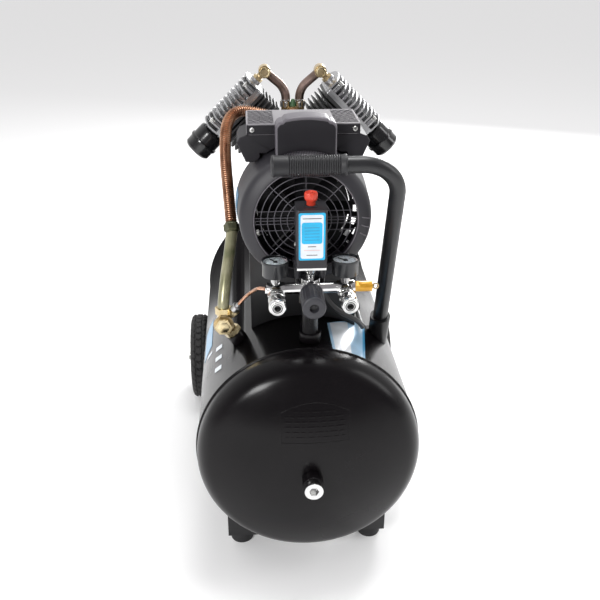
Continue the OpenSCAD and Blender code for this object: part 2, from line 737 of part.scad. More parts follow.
module switch_base() color("dimgray") {
    translate([panel_x, switch_y, switch_z0])
        rounded_plate(2 * switch_half, switch_y1 - switch_y0, 18, 4);
    for (x = [25, -15]) translate([x, gland_y, gland_z]) {
        translate([0, 0, 0.2]) cylinder(h = 11, d = 14);
        translate([0, 0, 6]) cylinder(h = 5, d = 17);
    }
}

module switch_cover() color("black") difference() {
    translate([panel_x, switch_y, switch_z0 + 18])
        rounded_plate(2 * switch_half, switch_y1 - switch_y0, switch_z1 - switch_z0 - 18, 5);
    translate([panel_x, switch_y, switch_z0 + 17])
        rounded_plate(2 * switch_half - 5, switch_y1 - switch_y0 - 5,
            switch_z1 - switch_z0 - 20, 3);
    translate([panel_x, switch_y, switch_z1 - 10]) cylinder(h = 20, d = 14.7);
}

module switch_knob() color("red") translate([panel_x, switch_y, 0]) {
    translate([0, 0, switch_z1 - 4]) cylinder(h = 11, d = 14);
    translate([0, 0, switch_z1 + 6.5]) rotate_extrude() polygon([[0, 0], [7, 0], [10, 4],
        [10.5, 12], [9, 15], [0, 16]]);
}

module regulator_knob() color("dimgray") translate([panel_x, coupler_y0 - 4, manifold_z])
    rotate([-90, 0, 0]) rotate_extrude($fn = 96) polygon([[0, 8], [6, 8], [6, 0], [16.5, 0],
        [18.6, 2.5], [19.2, 30], [19.5, 54], [14, 54], [14, 40], [0, 40]]);

module coupler_body(x) {
    translate([x, 0, manifold_z]) difference() {
        union() {
            along_y(coupler_y0, -337, 9.5);
            hex_y(-344, -337, 24, 0, 0);
        }
        along_y(coupler_y0 - 1, -350, 5.5);
    }
}

module coupler_bodies() color("silver")
    for (s = [-1, 1]) coupler_body(panel_x + s * gauge_dx);

module coupler_sleeve(s) {
    color("silver") translate([panel_x + s * gauge_dx, coupler_y0 + 1, manifold_z])
        rotate([-90, 0, 0]) rotate_extrude() polygon([[9.5 + clear, 0], [12, 0],
            [sleeve_d / 2, 3], [sleeve_d / 2, 14], [12.4, 16], [12.4, 26],
            [sleeve_d / 2, 28], [sleeve_d / 2, 36], [9.5 + clear, 36]]);
}

module coupler_sleeve_left() coupler_sleeve(-1);
module coupler_sleeve_right() coupler_sleeve(1);

module safety_valve() color("gold") translate([panel_x + 72, manifold_y, manifold_z]) {
    rotate([0, 90, 0]) difference() {
        union() {
            hex(16, 7);
            translate([0, 0, 6]) cylinder(h = 22, d = 17);
        }
        translate([0, 0, 15]) cylinder(h = 20, r = 2.5 + clear);
    }
}

module safety_ring() color("silver") translate([panel_x + 72, manifold_y, manifold_z]) {
    translate([20, 0, 0]) rotate([0, 90, 0]) cylinder(h = 12, r = 2.5);
    translate([34, 0, 0]) rotate([90, 0, 0]) rotate_extrude() translate([4.5, 0]) circle(1.2, $fn = 16);
}

module drain_valve() color("goldenrod") translate([0, 0, tank_z - tank_r]) difference() {
    union() {
        translate([0, 0, -14]) cylinder(h = 26, d = 12);
        translate([0, 0, -19]) hex(16, 7);
    }
    translate([0, 0, -20]) cylinder(h = 20, r = 4 + clear);
}

module drain_knob() color("goldenrod") translate([0, 0, tank_z - tank_r]) {
    translate([0, 0, -26]) cylinder(h = 24, r = 4);
    translate([-11, -2, -32]) cube([22, 4, 8]);
}

// Wiring

module motor_lead() color("black") swept_tube(motor_route, 7.5, 10, 5);

module mains_cord() color("black") {
    swept_tube(mains_route, cord_d, 10, 3);
    swept_tube(tail_route, cord_d, 10, 3);
}

module cord_coil() color("black") translate([coil_c[0], coil_c[1], 0]) rotate_extrude($fn = 48)
    polygon([[coil_r - 9.5, 1], [coil_r + 9.5, 1], [coil_r + 10, coil_h - 2],
        [coil_r + 8, coil_h], [coil_r - 8, coil_h], [coil_r - 10, coil_h - 2]]);

module plug() color("black") translate(plug_c) {
    rotate([90, 0, 0]) linear_extrude(plug_l, center = true) union() {
        square([34, 24], center = true);
        square([24, 34], center = true);
        for (x = [-12, 12], z = [-12, 12]) translate([x, z]) circle(5);
    }
    for (x = [-9.5, 9.5]) translate([x, -plug_l / 2 + 1, 0]) rotate([90, 0, 0])
        cylinder(h = 20, d = 4.8);
    translate([0, plug_l / 2 + 27, 0]) rotate([90, 0, 0]) cylinder(h = 28, d1 = 11, d2 = 16);
}

// Moving masses inside

module crankshaft() color("silver") translate([0, 0, crank_z]) difference() {
    union() {
        along_y(-268, pump_y - 30, 15);
        along_y(-165, -55, 39.4);
        along_y(pump_y - 30, pump_y - 18, 33);
        along_y(pump_y - 18, pump_y + 22, 9, 0, 20);
    }
    along_y(-300, -230, 3);
}

module cooling_fan() color("black") translate([0, 0, crank_z]) difference() {
    union() {
        along_y(-262, -228, 24);
        for (a = [0 : 45 : 315]) rotate([0, a, 0]) translate([-1.5, -258, 20])
            rotate([0, 0, 28]) cube([3, 28, 56]);
    }
    along_y(-300, -200, 15);
}

module piston(s) {
    color("silver") bank(s) {
        translate([0, 0, piston_top - piston_h]) cylinder(h = piston_h, d = piston_d);
        translate([-5, -8, rod_end]) cube([10, 16, piston_top - piston_h - rod_end + 2]);
    }
}

module piston_left() piston(-1);
module piston_right() piston(1);

tank_shell();
front_head();
rear_head();
tank_ports();
port_plugs();
tank_brackets();
rubber_feet();
bolts();
wheel_axles();
wheel_hub_left();
wheel_hub_right();
tyre_left();
tyre_right();
handle_tube();
handle_grip();
motor_base();
motor_housing();
fan_shroud();
fan_grille();
wind_guide();
capacitor_box();
terminal_cover();
crankcase();
oil_filler_cap();
cylinder_left();
cylinder_right();
head_left();
head_right();
intake_filters();
discharge_fittings();
discharge_tubes();
finned_tube();
delivery_tube();
check_valve();
unloader_tube();
riser();
manifold();
gauge_cases();
gauge_lenses();
switch_base();
switch_cover();
coupler_bodies();
safety_valve();
drain_valve();
motor_lead();
mains_cord();
cord_coil();
plug();
crankshaft();
cooling_fan();
piston_left();
piston_right();
switch_knob();
regulator_knob();
coupler_sleeve_left();
coupler_sleeve_right();
gauge_needle_left();
gauge_needle_right();
safety_ring();
drain_knob();
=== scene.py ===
"""Looks of the V-twin air compressor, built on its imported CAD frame. Metres, +Z up, floor at z = 0.
Shape tables, routes and turned outlines are in millimetres."""

import math
import random

import bpy
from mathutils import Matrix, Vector


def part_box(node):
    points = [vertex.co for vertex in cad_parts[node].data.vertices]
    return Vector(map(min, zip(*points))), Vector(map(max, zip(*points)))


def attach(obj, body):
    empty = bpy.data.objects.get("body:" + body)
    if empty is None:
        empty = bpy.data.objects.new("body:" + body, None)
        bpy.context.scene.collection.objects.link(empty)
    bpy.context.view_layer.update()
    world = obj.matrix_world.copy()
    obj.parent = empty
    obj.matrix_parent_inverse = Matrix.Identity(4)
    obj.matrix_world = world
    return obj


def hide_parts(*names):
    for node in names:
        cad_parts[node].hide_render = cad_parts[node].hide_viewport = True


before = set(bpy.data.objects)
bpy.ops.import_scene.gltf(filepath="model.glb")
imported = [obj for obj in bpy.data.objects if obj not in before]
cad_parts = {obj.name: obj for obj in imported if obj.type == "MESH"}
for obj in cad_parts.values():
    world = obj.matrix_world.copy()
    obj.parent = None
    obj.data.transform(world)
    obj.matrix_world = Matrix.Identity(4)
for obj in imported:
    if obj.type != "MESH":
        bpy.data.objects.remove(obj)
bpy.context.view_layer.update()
MM = 0.001
X_AXIS, Y_AXIS, Z_AXIS = (1, 0, 0), (0, 1, 0), (0, 0, 1)
SIDES = ((-1, "l"), (1, "r"))


# ---- places taken from the frame

def middle(node):
    """Centre of a CAD node's box."""
    low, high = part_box(node)
    return (low + high) / 2


TANK_LOW, TANK_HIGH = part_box("front_head")
TANK_R = (TANK_HIGH.x - TANK_LOW.x) / 2
TANK_Z = (TANK_HIGH.z + TANK_LOW.z) / 2
HEAD_TIP_Y = TANK_LOW.y
CRANK_Z = middle("fan_shroud").z
FAN_C = Vector((0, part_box("fan_shroud")[0].y, CRANK_Z))
GRILLE = middle("fan_grille")
PANEL_X = middle("regulator_knob").x
PANEL_Z = middle("regulator_knob").z
BOX_LOW, BOX_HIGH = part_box("capacitor_box")
COVER_LOW, COVER_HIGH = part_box("switch_cover")
TERM_LOW, TERM_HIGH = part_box("terminal_cover")


# ---- mesh helpers

BOX_FACES = [(3, 2, 1, 0), (4, 5, 6, 7), (0, 1, 5, 4), (1, 2, 6, 5), (2, 3, 7, 6), (3, 0, 4, 7)]
BRICK_FACES = [(0, 1, 3, 2), (4, 6, 7, 5), (0, 4, 5, 1), (2, 3, 7, 6), (0, 2, 6, 4), (1, 5, 7, 3)]


def new_object(name, data):
    """A data block as an object in the scene."""
    obj = bpy.data.objects.new(name, data)
    bpy.context.scene.collection.objects.link(obj)
    return obj


def put(name, verts, faces, material, body="root", sharp=35.0, smooth=True):
    """A mesh object from plain lists, shaded smooth up to the sharp angle, riding on a body."""
    mesh = bpy.data.meshes.new(name)
    mesh.from_pydata([tuple(v) for v in verts], [], faces)
    mesh.update()
    if smooth:
        mesh.polygons.foreach_set("use_smooth", [True] * len(mesh.polygons))
        mesh.set_sharp_from_angle(angle=math.radians(sharp))
    mesh.materials.append(material)
    obj = new_object(name, mesh)
    if body:
        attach(obj, body)
    return obj


def bevel(obj, width, segments=2):
    """Rounds an object's sharp edges."""
    mod = obj.modifiers.new("edge_round", "BEVEL")
    mod.width = width
    mod.segments = segments
    mod.limit_method = "ANGLE"
    mod.angle_limit = math.radians(35.0)


def piece(name, shape, key, sharp=35.0, body="root", edge=0.0, segments=2, node=None):
    """A finished piece from (verts, faces): material key, slot, rounding and the node it replaces."""
    obj = put(name, *shape, M[key], body, sharp)
    if edge:
        bevel(obj, edge, segments)
    if node:
        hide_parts(node)
    return obj


def axes_of(axis):
    """Two unit vectors square to an axis."""
    axis = Vector(axis).normalized()
    helper = Vector((0, 0, 1)) if abs(axis.z) < 0.9 else Vector((1, 0, 0))
    side = axis.cross(helper).normalized()
    return axis, side, axis.cross(side).normalized()


def radial(degrees):
    """Outward and sideways unit vectors at an angle from straight up, seen from the front."""
    a = math.radians(degrees)
    return Vector((math.sin(a), 0, math.cos(a))), Vector((math.cos(a), 0, -math.sin(a)))


def skin(rings, sides):
    """Faces between neighbouring rings of points."""
    return [(i * sides + k, i * sides + (k + 1) % sides,
             (i + 1) * sides + (k + 1) % sides, (i + 1) * sides + k)
            for i in range(rings - 1) for k in range(sides)]


def caps(rings, sides):
    """The first and the last ring as end faces."""
    last = (rings - 1) * sides
    return [tuple(range(sides))[::-1], tuple(last + k for k in range(sides))]


def bar_faces(links, ends=True):
    """Faces of a bar whose rings have four corners: low low, low high, high low, high high."""
    faces = [(b + p, b + q, b + 4 + q, b + 4 + p) for b in range(0, links * 4, 4)
             for p, q in ((0, 1), (1, 3), (3, 2), (2, 0))]
    b = links * 4
    return faces + [(0, 2, 3, 1), (b, b + 1, b + 3, b + 2)] if ends else faces


def film_faces(rows):
    """Faces of a thin film: a lower and an upper grid with rows squares a side."""
    n = rows + 1
    top = n * n
    faces = []
    for i in range(rows):
        for j in range(rows):
            b = i * n + j
            faces += [(top + b, top + b + 1, top + b + n + 1, top + b + n),
                      (b + n, b + n + 1, b + 1, b)]
    edge = list(range(rows)) + [i * n + rows for i in range(rows)]
    edge += [rows * n + j for j in range(rows, 0, -1)] + [i * n for i in range(rows, 0, -1)]
    return faces + [(a, b, top + b, top + a) for a, b in zip(edge, edge[1:] + edge[:1])]


def turn(rows, centre, axis, steps, wave):
    """Rings of points around an axis from (radius, height) rows. wave(angle, radius, height) may
    change the radius."""
    axis, u, v = axes_of(axis)
    centre = Vector(centre)
    points = []
    for r, h in rows:
        for k in range(steps):
            a = 2 * math.pi * k / steps
            rr = (wave(a, r, h) if wave else r) * MM
            points.append(centre + axis * (h * MM) + (u * math.cos(a) + v * math.sin(a)) * rr)
    return points


def lathe(rows, centre, axis, steps=64, wave=None):
    """Verts and faces of a turned solid."""
    ends = zip(caps(len(rows), steps), (rows[0], rows[-1]))
    faces = skin(len(rows), steps) + [end for end, (r, _) in ends if r > 0]
    return turn(rows, centre, axis, steps, wave), faces


def ring_lathe(rows, centre, axis, steps=64, wave=None):
    """Verts and faces of a turned shape whose outline closes on itself, such as a sleeve."""
    last = (len(rows) - 1) * steps
    closing = [(last + k, last + (k + 1) % steps, (k + 1) % steps, k) for k in range(steps)]
    return turn(rows, centre, axis, steps, wave), skin(len(rows), steps) + closing


def oval(r, h, half_r, half_h, count=8):
    """A round or oval outline for ring_lathe."""
    return [(r + half_r * math.cos(t), h + half_h * math.sin(t))
            for t in [2 * math.pi * i / count for i in range(count)]]


def box_mesh(low, high):
    """Verts and faces of an upright box."""
    (x0, y0, z0), (x1, y1, z1) = low, high
    corners = ((x0, y0), (x1, y0), (x1, y1), (x0, y1))
    return [(x, y, z) for z in (z0, z1) for x, y in corners], BOX_FACES


def join(parts):
    """One verts and faces pair from several."""
    verts, faces = [], []
    for v, f in parts:
        base = len(verts)
        verts += list(v)
        faces += [tuple(i + base for i in face) for face in f]
    return verts, faces


def smooth_route(points, steps):
    """The curve through the points that the CAD source sweeps its tubes along."""
    p = [Vector(q) for q in points]
    out = []
    for i in range(len(p) - 1):
        a, b, c, d = p[max(i - 1, 0)], p[i], p[i + 1], p[min(i + 2, len(p) - 1)]
        for k in range(steps):
            t = k / steps
            out.append(0.5 * (2 * b + (c - a) * t + (2 * a - 5 * b + 4 * c - d) * t * t
                              + (3 * b - a - 3 * c + d) * t ** 3))
    out.append(p[-1])
    return out


def even_route(points, gap):
    """The same curve with points a fixed gap apart."""
    out, spare = [points[0]], 0.0
    for a, b in zip(points, points[1:]):
        length = (b - a).length
        at = gap - spare
        while at < length:
            out.append(a.lerp(b, at / length))
            at += gap
        spare = length - (at - gap)
    if (out[-1] - points[-1]).length < gap * 0.5:
        out[-1] = points[-1]
    else:
        out.append(points[-1])
    return out


def metres(route):
    """A route in metres."""
    return [Vector(p) * MM for p in route]


def sweep(path, radii, sides=16, start=(1, 0.3, 0.2)):
    """Verts and faces of a round tube along a path. radii is one number or a list, one per point."""
    verts = []
    normal = Vector(start)
    last = len(path) - 1
    for i, p in enumerate(path):
        tangent = (path[min(i + 1, last)] - path[max(i - 1, 0)]).normalized()
        normal = (normal - tangent * normal.dot(tangent)).normalized()
        other = tangent.cross(normal)
        r = radii[i] if isinstance(radii, list) else radii
        for k in range(sides):
            a = 2 * math.pi * k / sides
            verts.append(p + (normal * math.cos(a) + other * math.sin(a)) * r)
    return verts, skin(len(path), sides) + caps(len(path), sides)


def rounded_outline(x0, z0, x1, z1, r, steps=6):
    """Rounded rectangle as a list of points."""
    pts = []
    for cx, cz, start in ((x1 - r, z0 + r, -90), (x1 - r, z1 - r, 0), (x0 + r, z1 - r, 90),
                          (x0 + r, z0 + r, 180)):
        for i in range(steps + 1):
            a = math.radians(start + 90 * i / steps)
            pts.append((cx + r * math.cos(a), cz + r * math.sin(a)))
    return pts


# ---- materials

def shader(name):
    """A new material with its Principled shader, node tree and object coordinates."""
    mat = bpy.data.materials.new(name)
    mat.use_nodes = True
    tree = mat.node_tree
    bsdf = tree.nodes["Principled BSDF"]
    coords = tree.nodes.new("ShaderNodeTexCoord")
    return mat, tree, bsdf, coords


def noise(tree, coords, scale, detail=4.0, stretch=None):
    """A noise texture in object space, optionally stretched along an axis."""
    tex = tree.nodes.new("ShaderNodeTexNoise")
    tex.inputs["Scale"].default_value = scale
    tex.inputs["Detail"].default_value = detail
    if stretch:
        mapping = tree.nodes.new("ShaderNodeMapping")
        mapping.inputs["Scale"].default_value = stretch
        tree.links.new(coords.outputs["Object"], mapping.inputs["Vector"])
        tree.links.new(mapping.outputs["Vector"], tex.inputs["Vector"])
    else:
        tree.links.new(coords.outputs["Object"], tex.inputs["Vector"])
    return tex


def ramp(tree, source, low, high, start=0.35, end=0.65):
    """Maps a texture's value to a colour between low and high."""
    node = tree.nodes.new("ShaderNodeValToRGB")
    node.color_ramp.elements[0].position = start
    node.color_ramp.elements[1].position = end
    node.color_ramp.elements[0].color = (*low, 1)
    node.color_ramp.elements[1].color = (*high, 1)
    tree.links.new(source, node.inputs["Fac"])
    return node


def span(tree, source, low, high):
    """Maps a texture's value to a number between low and high."""
    node = tree.nodes.new("ShaderNodeMapRange")
    node.inputs["From Min"].default_value = 0.3
    node.inputs["From Max"].default_value = 0.7
    node.inputs["To Min"].default_value = low
    node.inputs["To Max"].default_value = high
    tree.links.new(source, node.inputs["Value"])
    return node


def bump(tree, bsdf, source, strength, distance):
    """Adds a bump to the shader's normal, on top of any earlier one."""
    node = tree.nodes.new("ShaderNodeBump")
    node.inputs["Strength"].default_value = strength
    node.inputs["Distance"].default_value = distance
    tree.links.new(source, node.inputs["Height"])
    old = bsdf.inputs["Normal"].links
    if old:
        tree.links.new(old[0].from_socket, node.inputs["Normal"])
    tree.links.new(node.outputs["Normal"], bsdf.inputs["Normal"])
    return node


def surface(name, low, high, rough, metal=0.0, patch=9.0, grain=900.0, grain_bump=0.2,
            grain_depth=0.00005, coat=0.0, specular=0.5, stretch=None):
    """General finish: colour patches from low to high, roughness range, fine grain bump."""
    mat, tree, bsdf, coords = shader(name)
    wide = noise(tree, coords, patch, 5.0)
    fine = noise(tree, coords, grain, 3.0, stretch)
    colour = ramp(tree, wide.outputs["Fac"], low, high)
    tree.links.new(colour.outputs["Color"], bsdf.inputs["Base Color"])
    spread = span(tree, fine.outputs["Fac"] if stretch else wide.outputs["Fac"], *rough)
    tree.links.new(spread.outputs["Result"], bsdf.inputs["Roughness"])
    bsdf.inputs["Metallic"].default_value = metal
    bsdf.inputs["Specular IOR Level"].default_value = specular
    bsdf.inputs["Coat Weight"].default_value = coat
    bsdf.inputs["Coat Roughness"].default_value = 0.06
    bump(tree, bsdf, fine.outputs["Fac"], grain_bump, grain_depth)
    return mat


def tank_paint():
    """Gloss black enamel with faint orange peel and dust."""
    mat, tree, bsdf, coords = shader("tank_enamel")
    peel = noise(tree, coords, 260.0, 2.0)
    haze = noise(tree, coords, 7.0, 5.0)
    colour = ramp(tree, haze.outputs["Fac"], (0.0026, 0.0020, 0.0026), (0.0050, 0.0040, 0.0048))
    tree.links.new(colour.outputs["Color"], bsdf.inputs["Base Color"])
    rough = span(tree, haze.outputs["Fac"], 0.20, 0.29)
    tree.links.new(rough.outputs["Result"], bsdf.inputs["Roughness"])
    bsdf.inputs["Specular IOR Level"].default_value = 0.2
    bump(tree, bsdf, peel.outputs["Fac"], 0.12, 0.00012)
    return mat


def flat_colour(name, colour, rough=0.4, patch=30.0, coat=0.0):
    """Printed film or small coloured trim, with a slight tone change."""
    dim = tuple(c * 0.86 for c in colour)
    return surface(name, dim, colour, (rough, rough + 0.08), 0.0, patch, 1500.0, 0.08,
                   0.00002, coat)


def glass():
    """Clear gauge lens."""
    mat, tree, bsdf, coords = shader("gauge_glass")
    bsdf.inputs["Base Color"].default_value = (0.93, 0.96, 0.97, 1)
    bsdf.inputs["Transmission Weight"].default_value = 1.0
    bsdf.inputs["IOR"].default_value = 1.2
    smear = noise(tree, coords, 60.0, 3.0)
    rough = span(tree, smear.outputs["Fac"], 0.02, 0.06)
    tree.links.new(rough.outputs["Result"], bsdf.inputs["Roughness"])
    return mat


M = {
    "tank": tank_paint(),
    "satin_black": surface("satin_black", (0.00825, 0.008625, 0.00975), (0.01275, 0.01313, 0.015),
        (0.34, 0.44), grain=1100, grain_bump=0.35, coat=0.1),
    "base_black": surface("base_black", (0.007, 0.007, 0.0077), (0.0119, 0.01155, 0.0126), (0.28, 0.42),
        grain=700),
    "pipe_black": surface("pipe_black", (0.01, 0.01, 0.011), (0.02, 0.019, 0.02), (0.22, 0.36),
        grain=500, coat=0.2),
    "cast_black": surface("cast_black", (0.012, 0.012, 0.013), (0.026, 0.025, 0.026), (0.42, 0.6),
        grain=420, grain_bump=0.5, grain_depth=0.0002),
    "motor_dark": surface("motor_dark", (0.016, 0.016, 0.018), (0.03, 0.029, 0.033), (0.42, 0.56),
        metal=0.2, grain=500, grain_bump=0.4),
    "shroud": surface("shroud_plastic", (0.0168, 0.01575, 0.0203), (0.0252, 0.0238, 0.0287),
        (0.44, 0.56), grain=1600, grain_bump=0.45, grain_depth=0.00008),
    "cover": surface("cover_plastic", (0.0075, 0.0065, 0.0095), (0.012, 0.0105, 0.014), (0.48, 0.6),
        grain=1700, grain_bump=0.4, grain_depth=0.00008, specular=0.35),
    # Lighter grey on the shroud's lip, ribs and vents and on the terminal cover's rim: painted highlight
    # on edges and ridges of the dark plastic.
    "rim": surface("painted_highlight_grey", (0.105, 0.096, 0.112), (0.15, 0.14, 0.155), (0.4, 0.52), grain=1500,
        grain_bump=0.3),
    "saddle": surface("saddle_plastic", (0.2, 0.19, 0.205), (0.27, 0.26, 0.27), (0.4, 0.52), grain=1500,
        grain_bump=0.3),
    "fan": surface("fan_plastic", (0.004, 0.004, 0.005), (0.008, 0.008, 0.009), (0.5, 0.66), grain=1200,
        grain_bump=0.3, specular=0.25),
    "dark_olive": surface("dark_olive_zinc", (0.05, 0.052, 0.028), (0.12, 0.12, 0.065), (0.3, 0.45),
        metal=0.6, patch=60, grain=700, coat=0.1),
    "sky": flat_colour("decal_sky", (0.36, 0.58, 0.78), 0.3, coat=0.2),
    "pale_red": flat_colour("label_pale_red", (0.78, 0.52, 0.54), 0.4),
    "grille": surface("grille_wire", (0.085, 0.08, 0.095), (0.13, 0.125, 0.14), (0.35, 0.5), metal=0.2),
    "head": surface("cast_aluminium", (0.31, 0.31, 0.3193), (0.4464, 0.4464, 0.4526), (0.24, 0.42),
        metal=0.95, patch=30, grain=700, grain_bump=0.5, grain_depth=0.00012),
    "filter": surface("filter_gloss", (0.006, 0.006, 0.007), (0.011, 0.011, 0.012), (0.16, 0.26),
        grain_bump=0.08, coat=0.3),
    "brass": surface("dull_brass", (0.4, 0.3, 0.16), (0.62, 0.49, 0.29), (0.24, 0.42), metal=1,
        patch=55, grain=600, grain_bump=0.3),
    "pale_brass": surface("pale_brass", (0.58, 0.46, 0.25), (0.76, 0.64, 0.4), (0.2, 0.34), metal=1,
        patch=55, grain=600),
    "bronze": surface("heat_bronze", (0.1, 0.075, 0.055), (0.3, 0.215, 0.19), (0.26, 0.44), metal=0.9,
        patch=28, grain=500, grain_bump=0.3),
    "finned": surface("finned_copper", (0.3, 0.155, 0.095), (0.56, 0.34, 0.22), (0.3, 0.44), metal=1,
        patch=34, grain=500, grain_bump=0.3),
    "copper": surface("soft_copper", (0.62, 0.32, 0.2), (0.84, 0.52, 0.38), (0.2, 0.34), metal=1,
        patch=45, grain=500),
    "olive": surface("passivated_zinc", (0.15, 0.165, 0.08), (0.44, 0.41, 0.27), (0.26, 0.4),
        metal=0.55, patch=17, grain=700, coat=0.15),
    "chrome": surface("chromed_brass", (0.66, 0.66, 0.66), (0.8, 0.8, 0.79), (0.09, 0.2), metal=1,
        patch=60, grain=500, grain_bump=0.08),
    "zinc": surface("zinc_plate", (0.5, 0.5, 0.48), (0.68, 0.68, 0.66), (0.26, 0.4), metal=1, patch=80,
        grain=600),
    "steel": surface("machined_steel", (0.42, 0.42, 0.43), (0.58, 0.58, 0.58), (0.26, 0.38), metal=1,
        patch=60, grain=500),
    "gauge": surface("gauge_case", (0.01, 0.011, 0.013), (0.017, 0.018, 0.021), (0.24, 0.34), coat=0.2),
    "dial": flat_colour("dial_white", (0.8, 0.83, 0.86), 0.45),
    # Black for printed marks, needles and coupler valves; also painted shade in the screw cross recesses
    # and the regulator knob's hole.
    "ink": flat_colour("dial_black_print_and_painted_shade", (0.02, 0.02, 0.022), 0.5),
    "red": surface("knob_red", (0.62, 0.04, 0.022), (0.8, 0.075, 0.035), (0.3, 0.42), grain=1200,
        coat=0.15),
    "switch": surface("switch_plastic", (0.02, 0.0195, 0.024), (0.031, 0.03, 0.035), (0.4, 0.52),
        grain=1500, grain_bump=0.4),
    "knob": surface("knob_plastic", (0.024, 0.024, 0.03), (0.04, 0.04, 0.047), (0.34, 0.46), grain=1300,
        grain_bump=0.3),
    "white": flat_colour("label_white", (0.78, 0.83, 0.88), 0.35, coat=0.2),
    "cyan": flat_colour("label_cyan", (0.004, 0.46, 0.8), 0.3, coat=0.2),
    "blue": flat_colour("decal_blue", (0.02, 0.27, 0.52), 0.28, coat=0.3),
    "lime": flat_colour("label_lime", (0.46, 0.45, 0.1), 0.4),
    "thread_green": flat_colour("thread_green", (0.05, 0.12, 0.05), 0.5),
    "amber": surface("amber_cap", (0.62, 0.3, 0.02), (0.82, 0.46, 0.05), (0.28, 0.4), metal=0.35,
        patch=60, coat=0.15),
    "rubber": surface("black_rubber", (0.011, 0.011, 0.012), (0.02, 0.02, 0.021), (0.58, 0.74),
        grain_bump=0.4, grain_depth=0.0001),
    "tyre": surface("tyre_rubber", (0.01, 0.01, 0.011), (0.024, 0.023, 0.023), (0.6, 0.78), patch=14,
        grain=700, grain_bump=0.5, grain_depth=0.00015),
    "grip": surface("grip_rubber", (0.01, 0.01, 0.012), (0.019, 0.019, 0.021), (0.44, 0.6), grain=1200,
        grain_bump=0.4),
    "jacket": surface("cord_jacket", (0.009, 0.009, 0.01), (0.016, 0.016, 0.017), (0.34, 0.5)),
    "glass": glass(),
}


def dress(node, key, width):
    """Gives a CAD node its material and softly rounded edges."""
    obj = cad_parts[node]
    obj.data.materials.clear()
    obj.data.materials.append(M[key])
    weld = obj.modifiers.new("weld", "WELD")
    weld.merge_threshold = 0.00002
    if width:
        bevel(obj, width)


# (finish, edge rounding in metres): the CAD nodes that stay
DRESSED = {
    ("tank", 0): ("tank_shell", "front_head", "rear_head"),
    ("tank", 0.0008): ("tank_ports",),
    ("chrome", 0.0006): ("port_plugs",),
    ("base_black", 0.0006): ("tank_brackets",),
    ("rubber", 0.001): ("rubber_feet",),
    ("zinc", 0.0004): ("bolts",),
    ("zinc", 0.0005): ("wheel_axles",),
    ("switch", 0.001): ("wheel_hub_left", "wheel_hub_right"),
    ("satin_black", 0): ("handle_tube",),
    ("base_black", 0.0015): ("motor_base",),
    ("motor_dark", 0.0004): ("motor_housing",),
    ("cover", 0.002): ("wind_guide", "terminal_cover"),
    ("saddle", 0.0015): ("capacitor_box",),
    ("cast_black", 0.001): ("crankcase",),
    ("cover", 0.0008): ("oil_filler_cap",),
    ("cast_black", 0.0006): ("cylinder_left", "cylinder_right"),
    ("head", 0.0004): ("head_left", "head_right"),
    ("filter", 0.0008): ("intake_filters",),
    ("brass", 0.0006): ("discharge_fittings",),
    ("bronze", 0): ("discharge_tubes",),
    ("pale_brass", 0.0007): ("check_valve",),
    ("pipe_black", 0.0006): ("riser",),
    ("chrome", 0.0005): ("manifold",),
    ("gauge", 0.0008): ("gauge_cases",),
    ("glass", 0): ("gauge_lenses",),
    ("switch", 0.0008): ("switch_base",),
    ("switch", 0.0015): ("switch_cover",),
    ("chrome", 0.0004): ("coupler_bodies",),
    ("amber", 0.0006): ("safety_valve",),
    ("brass", 0.0005): ("drain_valve", "drain_knob"),
    ("steel", 0.0005): ("crankshaft",),
    ("fan", 0.0006): ("cooling_fan",),
    ("head", 0): ("piston_left", "piston_right"),
    ("ink", 0): ("gauge_needle_left", "gauge_needle_right"),
    ("brass", 0): ("safety_ring",),
}


# ---- wheels

TREAD_BLOCKS = 36
TREAD_DEPTH = 2.6
HUB_X = 0.215


def tyre(node, body):
    """A tyre with two grooves and angled tread blocks, in place of its plain CAD ring."""
    low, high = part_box(node)
    centre = (low + high) / 2
    radius = (high.z - low.z) / 2 / MM
    half = (high.x - low.x) / 2 / MM

    def tread(a, r, h):
        phase = (a * TREAD_BLOCKS / (2 * math.pi) + abs(h) / half * 0.9) % 1.0
        groove = phase < 0.22 or abs(abs(h) - half * 0.36) < 1.4
        return r - TREAD_DEPTH if groove and r > radius - 7 else r

    wall = [(70, -0.95), (84, -1.0), (90, -0.98), (94.5, -0.9), (97.5, -0.74)]
    crown = [(99.2 + 0.8 * math.cos(i / 9 * math.pi / 2), i / 9 * 0.62) for i in range(-9, 10)]
    rows = [(r, h * half) for r, h in wall + crown] + [(r, -h * half) for r, h in reversed(wall)]
    piece(node + "_tread", ring_lathe(rows, centre, X_AXIS, 288, tread), "tyre", 40,
          body, node=node)
    bead_x = math.copysign(half - 0.65, centre.x)
    for k, r in enumerate((76, 88)):
        piece(f"{node}_rib_{k}", ring_lathe(oval(r, bead_x, 1.1, 0.7), centre, X_AXIS, 96), "tyre",
              60, body)


def hub_cap(node, body):
    """Spoke webs between the holes of the plastic hub."""
    centre = middle(node)
    centre.x = math.copysign(HUB_X, centre.x)
    parts = []
    for k in range(5):
        a = math.radians(36 + 72 * k)
        out = Vector((0, math.cos(a), math.sin(a)))
        side = Vector((0, -math.sin(a), math.cos(a)))
        verts = [centre + (out * r + side * sw * w + Vector((sx * x, 0, 0))) * MM
                 for r, w, x in ((20, 4, 14), (40, 3, 12.5), (56, 3, 12))
                 for sx in (-1, 1) for sw in (-1, 1)]
        parts.append((verts, bar_faces(2)))
    piece(node + "_spokes", join(parts), "switch", 30, body, edge=0.001)


# ---- mains cord and plug

